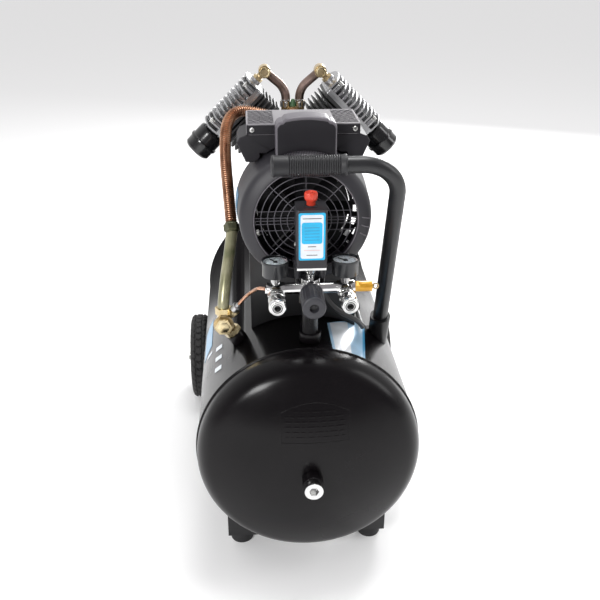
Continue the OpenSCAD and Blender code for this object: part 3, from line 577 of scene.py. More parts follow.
MAINS_ROUTE = [(25, -303, 554), (25, -303, 538), (26, -298.5, 516), (29, -296.5, 500), (35, -296, 488),
    (45, -296, 475), (60, -295, 462), (76, -291, 451), (89, -283, 439), (98, -267, 423),
    (102.5, -246, 410), (104, -215, 404.5), (104, -160, 404), (104, 0, 404), (104, 150, 404),
    (104, 280, 404), (103, 335, 406), (99, 368, 403), (92, 402, 390), (86, 434, 350), (82, 453, 290),
    (78, 468, 210), (74, 480, 120), (68, 494, 50), (61, 514, 14), (55, 545, 5.5), (53.5, 580, 5.5)]
TAIL_ROUTE = [(-27, 626, 15), (-46, 612, 14.5), (-60, 588, 13), (-66, 560, 12.5), (-67, 538, 15),
    (-67, 524, 17)]
CORD_D = 9.0
COIL_C = (0, 580)
COIL_IN, COIL_OUT = 44.0, 53.5
COIL_LOW, COIL_HIGH = 5.5, 15.0
PLUG_C = (-67, 472, 17)


def ease(a, start, end):
    """0 before start, 1 after end, smooth between."""
    t = min(1.0, max(0.0, (a - start) / (end - start)))
    return t * t * (3 - 2 * t)


def coil_points(first, last, step):
    """Turns of the stored coil: outer and inner below, inner and outer above."""
    out = []
    for i in range(int((last - first) / step) + 1):
        a = first + i * step
        r = COIL_OUT - (COIL_OUT - COIL_IN) * (ease(a, 230, 360) - ease(a, 840, 970))
        z = COIL_LOW + (COIL_HIGH - COIL_LOW) * ease(a, 575, 660)
        t = math.radians(a)
        out.append((COIL_C[0] + r * math.cos(t), COIL_C[1] + r * math.sin(t), z))
    return out


def mains_cord():
    """The whole mains cord with its coil, tie, gland and moulded plug, and the motor lead's gland."""
    points = MAINS_ROUTE[:-1] + coil_points(0, 1190, 10) + TAIL_ROUTE[1:]
    path = even_route(smooth_route(metres(points), 6), 3 * MM)
    curve = bpy.data.curves.new("mains_cable", "CURVE")
    curve.dimensions = "3D"
    curve.bevel_depth = CORD_D / 2 * MM
    curve.bevel_resolution = 5
    curve.use_fill_caps = True
    spline = curve.splines.new("POLY")
    spline.points.add(len(path) - 1)
    for point, place in zip(spline.points, path):
        point.co = (*place, 1)
    spline.use_smooth = True
    curve.materials.append(M["jacket"])
    obj = new_object("mains_cable", curve)
    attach(obj, "root")
    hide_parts("mains_cord", "cord_coil")
    pieces = plug_pieces() + [cord_tie()]
    gland_relief("mains_gland", MAINS_ROUTE[0], 4.6)
    gland_relief("lead_gland", MOTOR_ROUTE[0], 3.85)


def gland_relief(name, place, bore):
    """Ribbed, tapered strain relief below a gland of the switch."""
    rows = [(bore, 0), (bore + 3.4, 0), (bore + 3.4, 3), (bore + 2.2, 4)]
    for i in range(4):
        r, h = bore + 2.2 - 0.4 * i, 5 + i * 4
        rows += [(r, h), (r, h + 2), (r - 0.8, h + 2.4), (r - 0.8, h + 3.6)]
    rows += [(bore + 0.7, 22), (bore, 22.6)]
    piece(name, ring_lathe(rows, Vector(place) * MM, (0, 0, -1), 32), "switch", 40)


def cord_tie():
    """Strap around all turns of the coil."""
    mid_r, mid_z = (COIL_IN + COIL_OUT) / 2, (COIL_HIGH + COIL_LOW) / 2
    half_r = (COIL_OUT - COIL_IN) / 2 + CORD_D / 2 + 0.7
    half_z = (COIL_HIGH - COIL_LOW) / 2 + CORD_D / 2 - 0.1
    a = math.radians(20)
    out, along = Vector((math.cos(a), math.sin(a), 0)), Vector((-math.sin(a), math.cos(a), 0))
    loop = rounded_outline(mid_r - half_r, mid_z - half_z, mid_r + half_r, mid_z + half_z, 4.6, 5)
    verts, faces = [], []
    for w in (-5, 5):
        for grow in (0.0, 0.9):
            for r, z in loop:
                rr = r + math.copysign(grow, r - mid_r)
                zz = max(z + math.copysign(grow, z - mid_z), 0.1)
                verts.append((Vector((*COIL_C, zz)) + out * rr + along * w) * MM)
    n = len(loop)
    for k in range(n):
        j = (k + 1) % n
        faces += [(k, j, n + j, n + k), (2 * n + k, 3 * n + k, 3 * n + j, 2 * n + j),
                  (k, 2 * n + k, 2 * n + j, j), (n + k, n + j, 3 * n + j, 3 * n + k)]
    return piece("cord_tie", (verts, faces), "rubber", 40)


def plug_pieces():
    """Moulded plug: rounded body, grip ridges, ribbed relief and two pins."""
    c = Vector(PLUG_C)
    rows = [(-25, 15.0), (-24, 16.2), (-12, 17.0), (0, 17.0), (12, 16.2), (20, 14.0), (25, 10.0)]
    verts = []
    sides = 48
    for y, half in rows:
        for k in range(sides):
            a = 2 * math.pi * k / sides
            r = half * (abs(math.cos(a)) ** 5 + abs(math.sin(a)) ** 5) ** (-1 / 5)
            verts.append((c + Vector((r * math.cos(a), y, r * math.sin(a)))) * MM)
    shape = verts, skin(len(rows), sides) + caps(len(rows), sides)
    body = piece("plug_body", shape, "rubber", 40, node="plug")
    ridges = []
    for s in (-1, 1):
        for k in range(5):
            x, y = c.x + s * 16.4, c.y - 14 + k * 5
            ridges.append(box_mesh(((x - 0.5) * MM, y * MM, (c.z - 8) * MM),
                                   ((x + 0.5) * MM, (y + 2) * MM, (c.z + 8) * MM)))
    grip = piece("plug_ridges", join(ridges), "rubber", 30, edge=0.0004)
    rows = [(4.45, 52), (5.3, 51.6)]
    for i in range(4):
        r, h = 5.4 + 0.6 * i, 50 - 6 * i
        rows += [(r, h), (r + 0.2, h - 3), (r - 0.7, h - 3.6), (r - 0.6, h - 5.4)]
    rows += [(8, 26), (8, 23.5), (4.45, 23.5)]
    relief = piece("plug_relief", ring_lathe(rows, c * MM, Y_AXIS, 36), "rubber", 40)
    pin = [(0, -44), (1.6, -44), (2.3, -43), (2.4, -42), (2.4, -24), (0, -24)]
    pins = [lathe(pin, (c + Vector((x, 0, 0))) * MM, Y_AXIS, 24) for x in (-9.5, 9.5)]
    return [body, grip, relief, piece("plug_pins", join(pins), "pale_brass", 40)]


# ---- fan side

def fan_shroud():
    """Rounded front ring with its long skirt, lip and four arms, in place of the plain CAD shroud."""
    outer = [(82.5, 14), (82.5, 2.2), (83.1, 0.7), (84.4, 0.0), (86.2, 0.3), (90, 1.8),
             (96, 4.6), (101, 7.6), (104.6, 11.2), (106.4, 15.5), (107.2, 22), (108.6, 45),
             (110.4, 72), (112.0, 98.6), (111.6, 100), (109.6, 100)]
    inner = [(109.2, 98), (106.4, 45), (104.2, 20), (101.6, 13.5), (96, 8.6), (89, 5.2),
             (85.6, 4.4), (85.3, 14)]
    piece("shroud_ring", ring_lathe(outer + inner, FAN_C, Y_AXIS, 160), "shroud",
          50, node="fan_shroud")
    # The lip is painted lighter grey as a highlight on the rounded edge.
    piece("shroud_lip", ring_lathe(oval(83.4, 1.4, 1.3, 1.5, 12), FAN_C, Y_AXIS, 160), "rim",
          60)
    arms = []
    for angle in (45, 135, 225, 315):
        out, side = radial(angle)
        verts = [Vector((0, y * MM, CRANK_Z)) + (out * r + side * w) * MM
                 for y in (-212, -204) for r in (76.8, 109.5) for w in (-6, 6)]
        arms.append((verts, BRICK_FACES))
    piece("shroud_arms", join(arms), "shroud", 30, edge=0.001)


def ring_ridges(name, angles, line, section, rise, fall):
    """Raised ridges across the front ring. line holds (radius, height, sideways shift), section
    holds (sideways, lift)."""
    parts = []
    for angle in angles:
        out, side = radial(angle)
        verts = [FAN_C + (out * (r + lift * rise) + side * (w + shift)
                          + Vector((0, h - lift * fall, 0))) * MM
                 for r, h, shift in line for w, lift in section]
        parts.append((verts, [(b, b + 1, b + 5, b + 4) for i in range(len(line) - 1)
                              for b in range(i * 4, i * 4 + 3)]))
    # Ridges are painted lighter grey as a highlight.
    piece(name, join(parts), "rim", 50)


def ring_slots():
    """Row of fine raised ribs on top of the ring and three slanted vents at its right, painted lighter
    grey as a highlight.
    """
    ring_ridges("ring_ribs", [k * 1.35 for k in range(-19, 20)],
                [(91.5, 1.6, 0), (96, 3.8, 0), (101, 6.8, 0), (104.4, 10.2, 0), (106.6, 15.2, 0),
                 (107.6, 24, 0)],
                ((-0.42, -0.3), (-0.3, 0.55), (0.3, 0.55), (0.42, -0.3)), 0.8, 0.7)
    ring_ridges("ring_vents", [97 + k * 8.5 for k in (-1, 0, 1)],
                [(88.5, 1.1, -2.4), (93, 3.1, -0.8), (98, 5.6, 0.9), (102, 8.2, 2.2)],
                ((-1.1, -0.4), (-0.7, 0.9), (0.7, 0.9), (1.1, -0.4)), 0.5, 1.0)


def fan_grille():
    """Wire guard: round rings, eight spokes and four cross bars around a small boss."""
    parts = [ring_lathe(oval(r, 0, 0.8, 0.8), GRILLE, Y_AXIS, 96) for r in (72, 61.5, 51, 40.5, 30)]
    back = GRILLE + Vector((0, 0.9 * MM, 0))
    for angle in range(0, 360, 45):
        out = radial(angle)[0] * MM
        parts.append(sweep([back + out * 18, back + out * 83], 0.7 * MM, 8))
    for z in (-16, -5, 5, 16):
        half = Vector((math.sqrt(82.6 ** 2 - z ** 2) * MM, 0, 0))
        mid = GRILLE + Vector((0, -0.2 * MM, z * MM))
        parts.append(sweep([mid - half, mid + half], 0.65 * MM, 8))
    piece("guard_wires", join(parts), "grille", 60, node="fan_grille")
    boss = [(0, -1.2), (17.5, -1.2), (19.4, -0.6), (20, 0.2), (20, 1.1), (0, 1.1)]
    piece("guard_boss", lathe(boss, GRILLE, Y_AXIS, 64), "cover", 30)


def shroud_baffle():
    """Slotted plate that closes the ring-shaped gap between the motor and the shroud."""
    steps = 144
    radii = (77.3, 83, 91, 94.5, 102.5, 107.4)
    verts = [Vector((0, y * MM, CRANK_Z)) + radial(360 * k / steps)[0] * r * MM
             for y in (-224, -222.4) for r in radii for k in range(steps)]
    bands = len(radii) - 1
    n = len(radii) * steps

    def solid(i, k):
        return 0 <= i < bands and (i not in (1, 3) or (k + i) % 6 > 2)

    faces = []
    for i in range(bands):
        for k in range(steps):
            if not solid(i, k):
                continue
            j = (k + 1) % steps
            a, b = i * steps + k, i * steps + j
            c, d = b + steps, a + steps
            faces += [(a, b, c, d), (n + d, n + c, n + b, n + a)]
            for open_side, p, q in ((not solid(i - 1, k), b, a), (not solid(i + 1, k), d, c),
                                    (not solid(i, k - 1), a, d), (not solid(i, j), c, b)):
                if open_side:
                    faces.append((p, q, n + q, n + p))
    piece("shroud_baffle", (verts, faces), "cover", 30)


# ---- covers above the fan

def arch_outline(half, z0, z1, radius, corner, steps=10):
    """Points of an upright panel with a gently arched top and rounded upper corners."""
    pts = [(-half, z0), (half, z0)]
    side_z = z1 - (radius - math.sqrt(radius ** 2 - half ** 2))
    for i in range(steps + 1):
        a = math.pi / 2 * i / steps
        pts.append((half - corner + corner * math.cos(a), side_z - corner + corner * math.sin(a)))
    for i in range(1, 2 * steps):
        x = (half - corner) * (1 - i / steps)
        pts.append((x, z1 - radius + math.sqrt(radius ** 2 - x ** 2)))
    for i in range(steps + 1):
        a = math.pi / 2 + math.pi / 2 * i / steps
        pts.append((-half + corner + corner * math.cos(a),
                    side_z - corner + corner * math.sin(a)))
    return pts


def slab(outline, y0, y1, x0=0.0):
    """Verts and faces of an outline in X and Z pushed from y0 to y1."""
    n = len(outline)
    verts = [(x0 + x, y, z) for y in (y0, y1) for x, z in outline]
    faces = [tuple(range(n)), tuple(range(2 * n - 1, n - 1, -1))]
    return verts, faces + [(i, i + n, (i + 1) % n + n, (i + 1) % n) for i in range(n)]


def terminal_cover():
    """Domed terminal cover: dark face inside a thin rim painted lighter grey as a highlight, in place of
    the CAD block.
    """
    x0 = (TERM_LOW.x + TERM_HIGH.x) / 2
    half = (TERM_HIGH.x - TERM_LOW.x) / 2
    z0, z1 = 688 * MM, TERM_HIGH.z
    rows = [(0.0, TERM_HIGH.y - TERM_LOW.y), (0.0, 7 * MM), (0.3, 4.4 * MM), (0.9, 2.6 * MM),
            (1.9, 1.6 * MM), (2.6, 1.4 * MM)]
    verts = [(x0 + x, TERM_LOW.y + y, z) for d, y in rows
             for x, z in arch_outline(half - d * MM, z0, z1 - d * 1.4 * MM, 150 * MM, 11 * MM)]
    n = len(verts) // len(rows)
    piece("terminal_shell", (verts, skin(len(rows), n) + caps(len(rows), n)), "rim",
          40, node="terminal_cover")
    face = arch_outline(half - 2.9 * MM, z0 + 1 * MM, z1 - 5.2 * MM, 150 * MM, 9 * MM)
    piece("terminal_face", slab(face, TERM_LOW.y, TERM_LOW.y + 2.4 * MM, x0), "cover",
          30, edge=0.0008)


def flat_box_details():
    """Dark front edge, saddle, label strip, wavy moulded lines and corner screws of the flat box."""
    y0, top = BOX_LOW.y, BOX_HIGH.z
    front = box_mesh((BOX_LOW.x + 0.6 * MM, y0 - 0.5 * MM, BOX_LOW.z + 0.3 * MM),
                     (BOX_HIGH.x - 0.6 * MM, y0 + 3 * MM, top - 1.6 * MM))
    piece("box_front", front, "cover", edge=0.0008)
    saddle = box_mesh((-46 * MM, y0 + 6 * MM, top - 2 * MM), (50 * MM, y0 + 101 * MM, top + 0.25 * MM))
    piece("box_saddle", saddle, "saddle", edge=0.0002, segments=1)
    strip = box_mesh((-36 * MM, y0 + 34 * MM, top - 1 * MM), (42 * MM, y0 + 46 * MM, top + 0.4 * MM))
    piece("box_strip", strip, "lime", edge=0.0002, segments=1)
    rng = random.Random(11)
    parts = []
    for low, high in ((BOX_LOW.x + 3 * MM, -47 * MM), (51 * MM, BOX_HIGH.x - 3 * MM)):
        for row in range(12):
            y = y0 + (7 + row * 8) * MM
            phase = rng.uniform(0, 6)
            line = []
            for k in range(25):
                wave = math.sin(phase + k * 0.9) + 0.5 * math.sin(phase + k * 2.1)
                line.append(Vector((low + (high - low) * k / 24, y + 0.9 * MM * wave, top + 0.1 * MM)))
            parts.append(sweep(line, 0.75 * MM, 6, (0, 0.2, 1)))
    piece("box_lines", join(parts), "cover", 60)
    for k, x in enumerate((BOX_LOW.x + 9 * MM, BOX_HIGH.x - 9 * MM)):
        screw(f"box_screw_{k}", (x, y0 - 0.6 * MM, BOX_LOW.z + 8 * MM), (0, -1, 0), 4.0)


def screw(name, place, axis, radius):
    """A pan-head screw with a cross recess, drawn as a black cross of painted shade."""
    rows = [(0, -1.5), (radius, -1.5), (radius, 0.2 * radius), (radius * 0.86, 0.42 * radius),
            (radius * 0.5, 0.55 * radius), (0, 0.58 * radius)]
    piece(name, lathe(rows, place, axis, 24), "zinc", 30)
    out, u, v = axes_of(axis)
    top = Vector(place) + out * 0.59 * radius * MM
    low = top - out * 0.3 * radius * MM
    cross = []
    for d in (u, v):
        a, b = d * radius * 0.55 * MM, d.cross(out) * radius * 0.12 * MM
        cross.append(([p + q for p in (low, top) for q in (a + b, a - b, -a - b, b - a)], BOX_FACES))
    # Not cut in: the black cross on the head is painted shade of the recess.
    piece(name + "_recess", join(cross), "ink", 30)


# ---- handle

def handle_grip():
    """Ribbed rubber grip with smooth collars, in place of the CAD sleeve."""
    low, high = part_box("handle_grip")
    mid = (low + high) / 2
    r_out, length = (high.z - low.z) / 2 / MM, (high.x - low.x) / MM
    rows = [(0, 0), (0.72, 0), (0.93, 0.8), (1, 2.4), (1, 4.6), (0.955, 6.0), (0.955, 25),
            (0.93, 26.4)]
    ribs = 22
    start, end = 27, length - 11
    pitch = (end - start) / ribs
    for i in range(ribs):
        rows += [(r, start + (i + t) * pitch) for t, r in
                 ((0.08, 0.85), (0.22, 0.925), (0.5, 0.95), (0.78, 0.925), (0.92, 0.85))]
    rows += [(r, length - h) for r, h in ((0.93, 10.6), (0.955, 10), (0.955, 5.6), (1, 4.4), (1, 1.8),
                                          (0.95, 0.6), (0.8, 0))]
    rows = [(r_out * r, h) for r, h in rows]
    piece("grip_sleeve", lathe(rows, (low.x, mid.y, mid.z), X_AXIS, 64), "grip", 60,
          node="handle_grip")


# ---- air lines

FINNED_ROUTE = [(0, 52, 722), (0, 20, 722), (-6, -4, 723), (-28, -17, 727), (-60, -18, 735),
    (-91, -16, 741), (-111, -22, 738), (-123, -36, 726), (-128, -56, 706), (-129, -85, 669),
    (-125, -125, 615), (-121, -160, 568)]
DELIVERY_ROUTE = [(-121, -164, 562), (-126, -190, 533), (-133, -218, 498), (-138, -236, 464),
    (-139, -238, 452)]
UNLOADER_ROUTE = [(-119, -247, 453), (-112, -250, 462), (-98, -264, 484), (-84, -290, 506),
    (-77, -308, 517), (-68, -315, 519)]
MOTOR_ROUTE = [(-15, -303, 554), (-15, -303, 538), (-13, -298, 518), (-5, -291, 505), (12, -286, 499),
    (32, -285, 497), (54, -287, 497), (74, -289, 489), (86, -284, 474), (90, -271, 460),
    (89, -255, 451), (85, -240, 447), (82, -230, 446), (82, -225, 446)]


def finned_tube():
    """Copper tube with pressed-on fins from end to end."""
    path = even_route(smooth_route(metres(FINNED_ROUTE), 24), 0.95 * MM)
    plain = 12
    radii = [(8.2 if i < plain or i > len(path) - plain else (10.5, 10.3, 7.9, 7.9)[i % 4]) * MM
             for i in range(len(path))]
    piece("finned_pipe", sweep(path, radii, 28), "finned", node="finned_tube")


def plain_tube(name, node, route, radius, key, gap=3.0):
    """A smooth tube along a route, in place of its CAD sweep."""
    path = even_route(smooth_route(metres(route), 12), gap * MM)
    piece(name, sweep(path, radius * MM, 28), key, 50, node=node)


def delivery_nut():
    """Dark passivated nut where the finned tube meets the delivery tube."""
    before, place = metres(FINNED_ROUTE)[-2:]
    axis = (place - before).normalized()
    nut = [(10.2, -7), (12.6, -7), (14.6, -5.8), (14.6, 5.6), (12.6, 7), (10.2, 7)]
    piece("delivery_nut", ring_lathe(nut, place, axis, 6), "dark_olive", 30, edge=0.0005)
    collar = [(10.1, -9), (11.4, -9), (11.4, 9), (10.1, 9)]
    piece("delivery_collar", ring_lathe(collar, place, axis, 32), "dark_olive", 30)


def tube_details():
    """Flare nuts and their collars, the small cap on the tee and the banjo rims."""
    tube_y = 70 * MM
    for s, name in SIDES:
        for k, z in enumerate((739.5, 743.5)):
            piece(f"tube_collar_{k}_{name}", ring_lathe(oval(9.1, z, 0.9, 0.9), (s * 13 * MM, tube_y, 0),
                                                        Z_AXIS, 40), "steel")
    nut = [(8.8, 730.1), (10.4, 730.1), (11.4, 731), (11.4, 740), (10.4, 741.1), (8.8, 741.1)]
    for s, name in SIDES:
        piece(f"tee_nut_{name}", ring_lathe(nut, (s * 13 * MM, tube_y, 0), Z_AXIS, 6), "steel",
              30, edge=0.0004)
    cap = [(0, 730), (5.2, 730), (5.2, 737), (4.2, 739), (4.2, 744), (3.0, 746), (0, 746)]
    piece("tee_cap", lathe(cap, (0, 60.5 * MM, 0), Z_AXIS, 20), "thread_green")
    rim = [(6.5, -6.2), (8.6, -6.6), (9.2, -5.4), (9.2, -1), (6.5, -1)]
    for s, name in SIDES:
        piece(f"banjo_rim_{name}", ring_lathe(rim, Vector((s * 53, 58.5, 797)) * MM, Y_AXIS, 40),
              "pale_brass")


def check_valve_details():
    """Bevelled hex cap with its washer, and the flare nut of the small side tube."""
    place = Vector((-139, -262, 424)) * MM
    cap = [(0, -0.6), (9.6, -0.6), (10.4, -0.2), (13.6, 1.0), (15.2, 2.2), (15.2, 9.6), (0, 9.6)]
    piece("valve_cap", lathe(cap, place, Y_AXIS, 6), "pale_brass", 30, edge=0.0006)
    washer = [(0, 9.2), (17.2, 9.2), (17.8, 10.0), (17.8, 11.6), (17.2, 12.4), (0, 12.4)]
    piece("valve_washer", lathe(washer, place, Y_AXIS, 48), "brass")
    start, end = metres(UNLOADER_ROUTE)[:2]
    nut = [(3.3, -4), (6.9, -4), (7.8, -3), (7.8, 6), (6.9, 7), (4.6, 7.4), (4.2, 11), (3.3, 12)]
    piece("valve_side_nut", ring_lathe(nut, start, (end - start).normalized(), 24), "steel")


# ---- control panel

GAUGE_DX, GAUGE_Y, DIAL_Z = 56, -313, 563.4
SWEEP_START, TICK_STEP = 225, 9
COUPLER_TIP_Y = -390


def gauge(side, name):
    """Dial, printed ticks, zone arc, numerals, bezel and stem nut of one gauge."""
    x, y, face = PANEL_X + side * GAUGE_DX * MM, GAUGE_Y * MM, DIAL_Z * MM
    piece(f"dial_{name}", lathe([(0, 0), (20.2, 0), (20.2, 0.5), (0, 0.5)], (x, y, face - 0.1 * MM),
                                Z_AXIS, 64), "dial")
    parts = []
    for k in range(31):
        a = math.radians(SWEEP_START - k * TICK_STEP)
        out = Vector((math.cos(a), math.sin(a), 0))
        across = Vector((-math.sin(a), math.cos(a), 0))
        start, w = (13.4, 0.42) if k % 5 == 0 else (15.4, 0.2)
        base = Vector((x, y, face + 0.42 * MM))
        parts.append(([base + (out * r + across * q + Vector((0, 0, z))) * MM
                       for z in (0, 0.12) for r in (start, 17.6) for q in (-w, w)], BRICK_FACES))
    piece(f"ticks_{name}", join(parts), "ink")
    arc = []
    for k in range(25):
        a = math.radians(63 - k * 3.0)
        arc += [Vector((x + r * MM * math.cos(a), y + r * MM * math.sin(a), face + z * MM))
                for r in (18.0, 19.2) for z in (0.42, 0.54)]
    piece(f"arc_{name}", (arc, bar_faces(24, ends=False)), "pale_red")
    for k in range(4):
        a = math.radians(SWEEP_START - k * 10 * TICK_STEP)
        text = bpy.data.curves.new(f"numeral_{name}_{k}", "FONT")
        text.body = str(k * 4)
        text.size = 4.4 * MM
        text.align_x = "CENTER"
        text.align_y = "CENTER"
        text.extrude = 0.05 * MM
        text.materials.append(M["ink"])
        obj = new_object(f"numeral_{name}_{k}", text)
        obj.location = (x + 10.6 * MM * math.cos(a), y + 10.6 * MM * math.sin(a), face + 0.5 * MM)
        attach(obj, "root")
    bezel = [(20.3, 566.4), (20.4, 567.4), (20.9, 568.0), (21.6, 568.0), (22.2, 567.4),
             (22.3, 565.5), (22.2, 564.0), (21.1, 563.6), (21.1, 565.0)]
    piece(f"bezel_{name}", ring_lathe(bezel, (x, y, 0), Z_AXIS, 72), "gauge", 40)
    stem = [(5.3, 537.9), (7.4, 537.9), (7.9, 538.4), (7.9, 541.2), (7.4, 541.7), (5.3, 541.7)]
    piece(f"stem_{name}", ring_lathe(stem, (x, y, 0), Z_AXIS, 6), "brass")


def regulator_knob():
    """Fluted knob with a recessed face and painted shade at the bottom of its hole, in place of the CAD
    turned shape.
    """
    low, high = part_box("regulator_knob")
    start = (PANEL_X, low.y, PANEL_Z)
    length = (high.y - low.y) / MM
    flutes = 20

    def flute(a, r, h):
        if r < 17.5:
            return r
        dip = 0.9 * max(0.0, min(1.0, (h - 5) / 6)) * max(0.0, min(1.0, (length - 4 - h) / 6))
        return r - dip * (0.5 - 0.5 * math.cos(a * flutes)) ** 0.8

    rows = [(0, 7.5), (6.3, 7.5), (6.6, 7.0), (6.9, 1.0), (7.6, 0.2), (9.0, 0.0), (15.2, 0.0),
            (17.0, 0.4), (18.2, 1.5), (18.7, 3.4)]
    rows += [(18.7 + 0.6 * i / 12, 6 + (length - 12) * i / 12) for i in range(13)]
    rows += [(19.4, length - 4), (19.3, length - 1), (18.6, length), (14.1, length),
             (14.1, length - 12), (0, length - 12)]
    piece("regulator_grip", lathe(rows, start, Y_AXIS, 160, flute), "knob", 40,
          "regulator_knob", node="regulator_knob")
    # Black insert at the bottom of the face's hole: painted shade in the hole.
    hub = [(0, 6.2), (2.4, 6.2), (2.8, 6.9), (6.2, 6.9), (6.2, 7.9), (0, 7.9)]
    piece("regulator_hole_shade", lathe(hub, start, Y_AXIS, 40), "ink", 35,
          "regulator_knob")


def coupler_sleeve(name):
    """Knurled chrome sleeve of a quick coupler, with the nose and valve inside it."""
    node = f"coupler_sleeve_{name}"
    low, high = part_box(node)
    centre = Vector(((low.x + high.x) / 2, low.y, (low.z + high.z) / 2))

    def knurl(a, r, h):
        if 15.5 < h < 27 and r > 12:
            return r - 0.45 * (0.5 + 0.5 * math.cos(a * 36))
        return r

    rows = [(9.57, 0.4), (10.2, 0.0), (12.0, 0.0), (12.9, 0.9), (13.5, 2.6), (13.5, 6.0),
            (13.1, 6.4), (13.1, 7.4), (13.5, 7.8), (13.5, 13.6), (12.6, 15.0)]
    rows += [(12.9, 16 + i) for i in range(11)]
    rows += [(12.6, 27.4), (13.5, 28.6), (13.5, 34.6), (12.9, 36.0), (9.57, 36.0)]
    piece(f"sleeve_{name}", ring_lathe(rows, centre, Y_AXIS, 144, knurl), "chrome", 35,
          node, node=node)
    nose = [(5.6, 2.3), (9.4, 2.3), (9.4, 0.9), (8.0, 0.0), (6.2, 0.0), (5.6, 0.7)]
    tip = (centre.x, COUPLER_TIP_Y * MM, centre.z)
    piece(f"coupler_nose_{name}", ring_lathe(nose, tip, Y_AXIS, 48), "chrome")
    valve = [(0, 10), (3.6, 10), (4.4, 12), (5.4, 14), (0, 14)]
    piece(f"coupler_valve_{name}", lathe(valve, tip, Y_AXIS, 32), "ink")


def switch_knob():
    """Flared red knob with a ribbed edge."""
    low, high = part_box("switch_knob")

    def ribs(a, r, h):
        return r * (1 - 0.035 * (0.5 + 0.5 * math.cos(a * 14))) if r > 8.5 else r

    bottom, z = low.z / MM, high.z / MM
    rows = [(0, bottom), (7, bottom), (7, z - 16), (7.3, z - 15.5), (9.6, z - 12.4),
            (10.4, z - 10.5), (10.5, z - 4.5), (10.1, z - 2.2), (9.0, z - 0.9), (7.4, z - 0.6),
            (6.6, z - 1.4), (3.2, z - 1.6), (2.4, z - 0.4), (0, z)]
    place = ((low.x + high.x) / 2, (low.y + high.y) / 2, 0)
    piece("red_button", lathe(rows, place, Z_AXIS, 112, ribs), "red", 35, "switch_knob",
          node="switch_knob")


def switch_details():
    """Printed front label, the collar under the red knob and the side screws."""
    x0, x1 = COVER_LOW.x + 3.5 * MM, COVER_HIGH.x - 3.5 * MM
    y = COVER_LOW.y - 0.4 * MM
    z0, z1 = COVER_LOW.z - 4 * MM, COVER_HIGH.z - 4 * MM
    layers = (("border", "cyan", 0, 0, 0, 2.5), ("panel", "white", 3, 3, 3, 3.5),
              ("block", "cyan", 4.5, 27, 15, 4.0))
    for k, (part, key, side, below, above, r) in enumerate(layers):
        line = rounded_outline(x0 + side * MM, z0 + below * MM, x1 - side * MM, z1 - above * MM,
                               r * MM)
        piece(f"switch_label_{part}", slab(line, y - k * 0.1 * MM, y + 0.8 * MM), key,
              30)
    dashes = [(z1 - 9.5 * MM, 6, "ink"), (z0 + 22 * MM, 14, "ink"), (z0 + 16 * MM, 8, "pale_red"),
              (z0 + 8 * MM, 12, "ink")]
    dashes += [(z0 + (33 + 5 * k) * MM, 9, "blue") for k in range(5)]
    for k, (z, inset, key) in enumerate(dashes):
        dash = rounded_outline(x0 + inset * MM, z, x1 - inset * MM, z + 1.1 * MM, 0.5 * MM, 3)
        piece(f"switch_label_dash_{k}", slab(dash, y - 0.3 * MM, y + 0.4 * MM), key,
              30)
    collar = [(7.8, -0.5), (11.5, -0.5), (11.5, 0.8), (10.6, 1.6), (8.6, 1.8), (7.8, 1.8)]
    place = ((COVER_LOW.x + COVER_HIGH.x) / 2, middle("switch_knob").y, COVER_HIGH.z)
    piece("knob_collar", ring_lathe(collar, place, Z_AXIS, 48), "switch", 40)
    for k, (x, side) in enumerate(((COVER_LOW.x, -1), (COVER_HIGH.x, 1))):
        screw(f"cover_screw_{k}", (x + side * 0.4 * MM, middle("switch_cover").y,
                                   COVER_LOW.z + 14 * MM), (side, 0, 0), 3.2)


# ---- tank surface trim

def on_shell(angle, y, lift=0.0):
    """A point on the tank shell. angle is from straight up, positive to the right."""
    r = TANK_R + lift
    return Vector((r * math.sin(angle), y, TANK_Z + r * math.cos(angle)))


def shell_patch(name, corners, key, lift=0.25, rows=16):
    """A thin film on the shell between four (angle in degrees, y) corners."""
    (a0, y0), (a1, y1), (a2, y2), (a3, y3) = corners
    verts = []
    for layer in (0.02, lift):
        for i in range(rows + 1):
            t = i / rows
            for j in range(rows + 1):
                s = j / rows
                a = (a0 * (1 - s) + a1 * s) * (1 - t) + (a3 * (1 - s) + a2 * s) * t
                y = (y0 * (1 - s) + y1 * s) * (1 - t) + (y3 * (1 - s) + y2 * s) * t
                verts.append(on_shell(math.radians(a), y * MM, layer * MM))
    piece(name, (verts, film_faces(rows)), key, 60)


def on_front_head(u, z, lift):
    """A point on the front head, u across and z up. The crown is a sphere joined by a knuckle."""
    depth = math.hypot(u, z - TANK_Z)
    crown, knuckle = 363 * MM, 45 * MM
    edge = TANK_R - knuckle
    centre_y = HEAD_TIP_Y + crown
    join_r = crown * edge / (crown - knuckle)
    if depth < join_r:
        y = centre_y - math.sqrt(crown ** 2 - depth ** 2)
        out = Vector((u, y - centre_y, z - TANK_Z)).normalized()
    else:
        spread = depth - edge
        base = centre_y - math.sqrt((crown - knuckle) ** 2 - edge ** 2)
        y = base - math.sqrt(max(knuckle ** 2 - spread ** 2, 1e-9))
        out = Vector((u * spread / depth, y - base, (z - TANK_Z) * spread / depth)).normalized()
    return Vector((u, y, z)) + out * lift


def head_tile(low, high, thick, rows):
    """A thin raised tile on the front head between two (across, up) corners."""
    verts = []
    for lift in (-0.4 * MM, thick):
        for i in range(rows + 1):
            for j in range(rows + 1):
                x = low[0] + (high[0] - low[0]) * j / rows
                z = low[1] + (high[1] - low[1]) * i / rows
                inner = 0 < i < rows and 0 < j < rows and lift > 0
                verts.append(on_front_head(x, z, lift + 0.12 * MM if inner else lift))
    return verts, film_faces(rows)


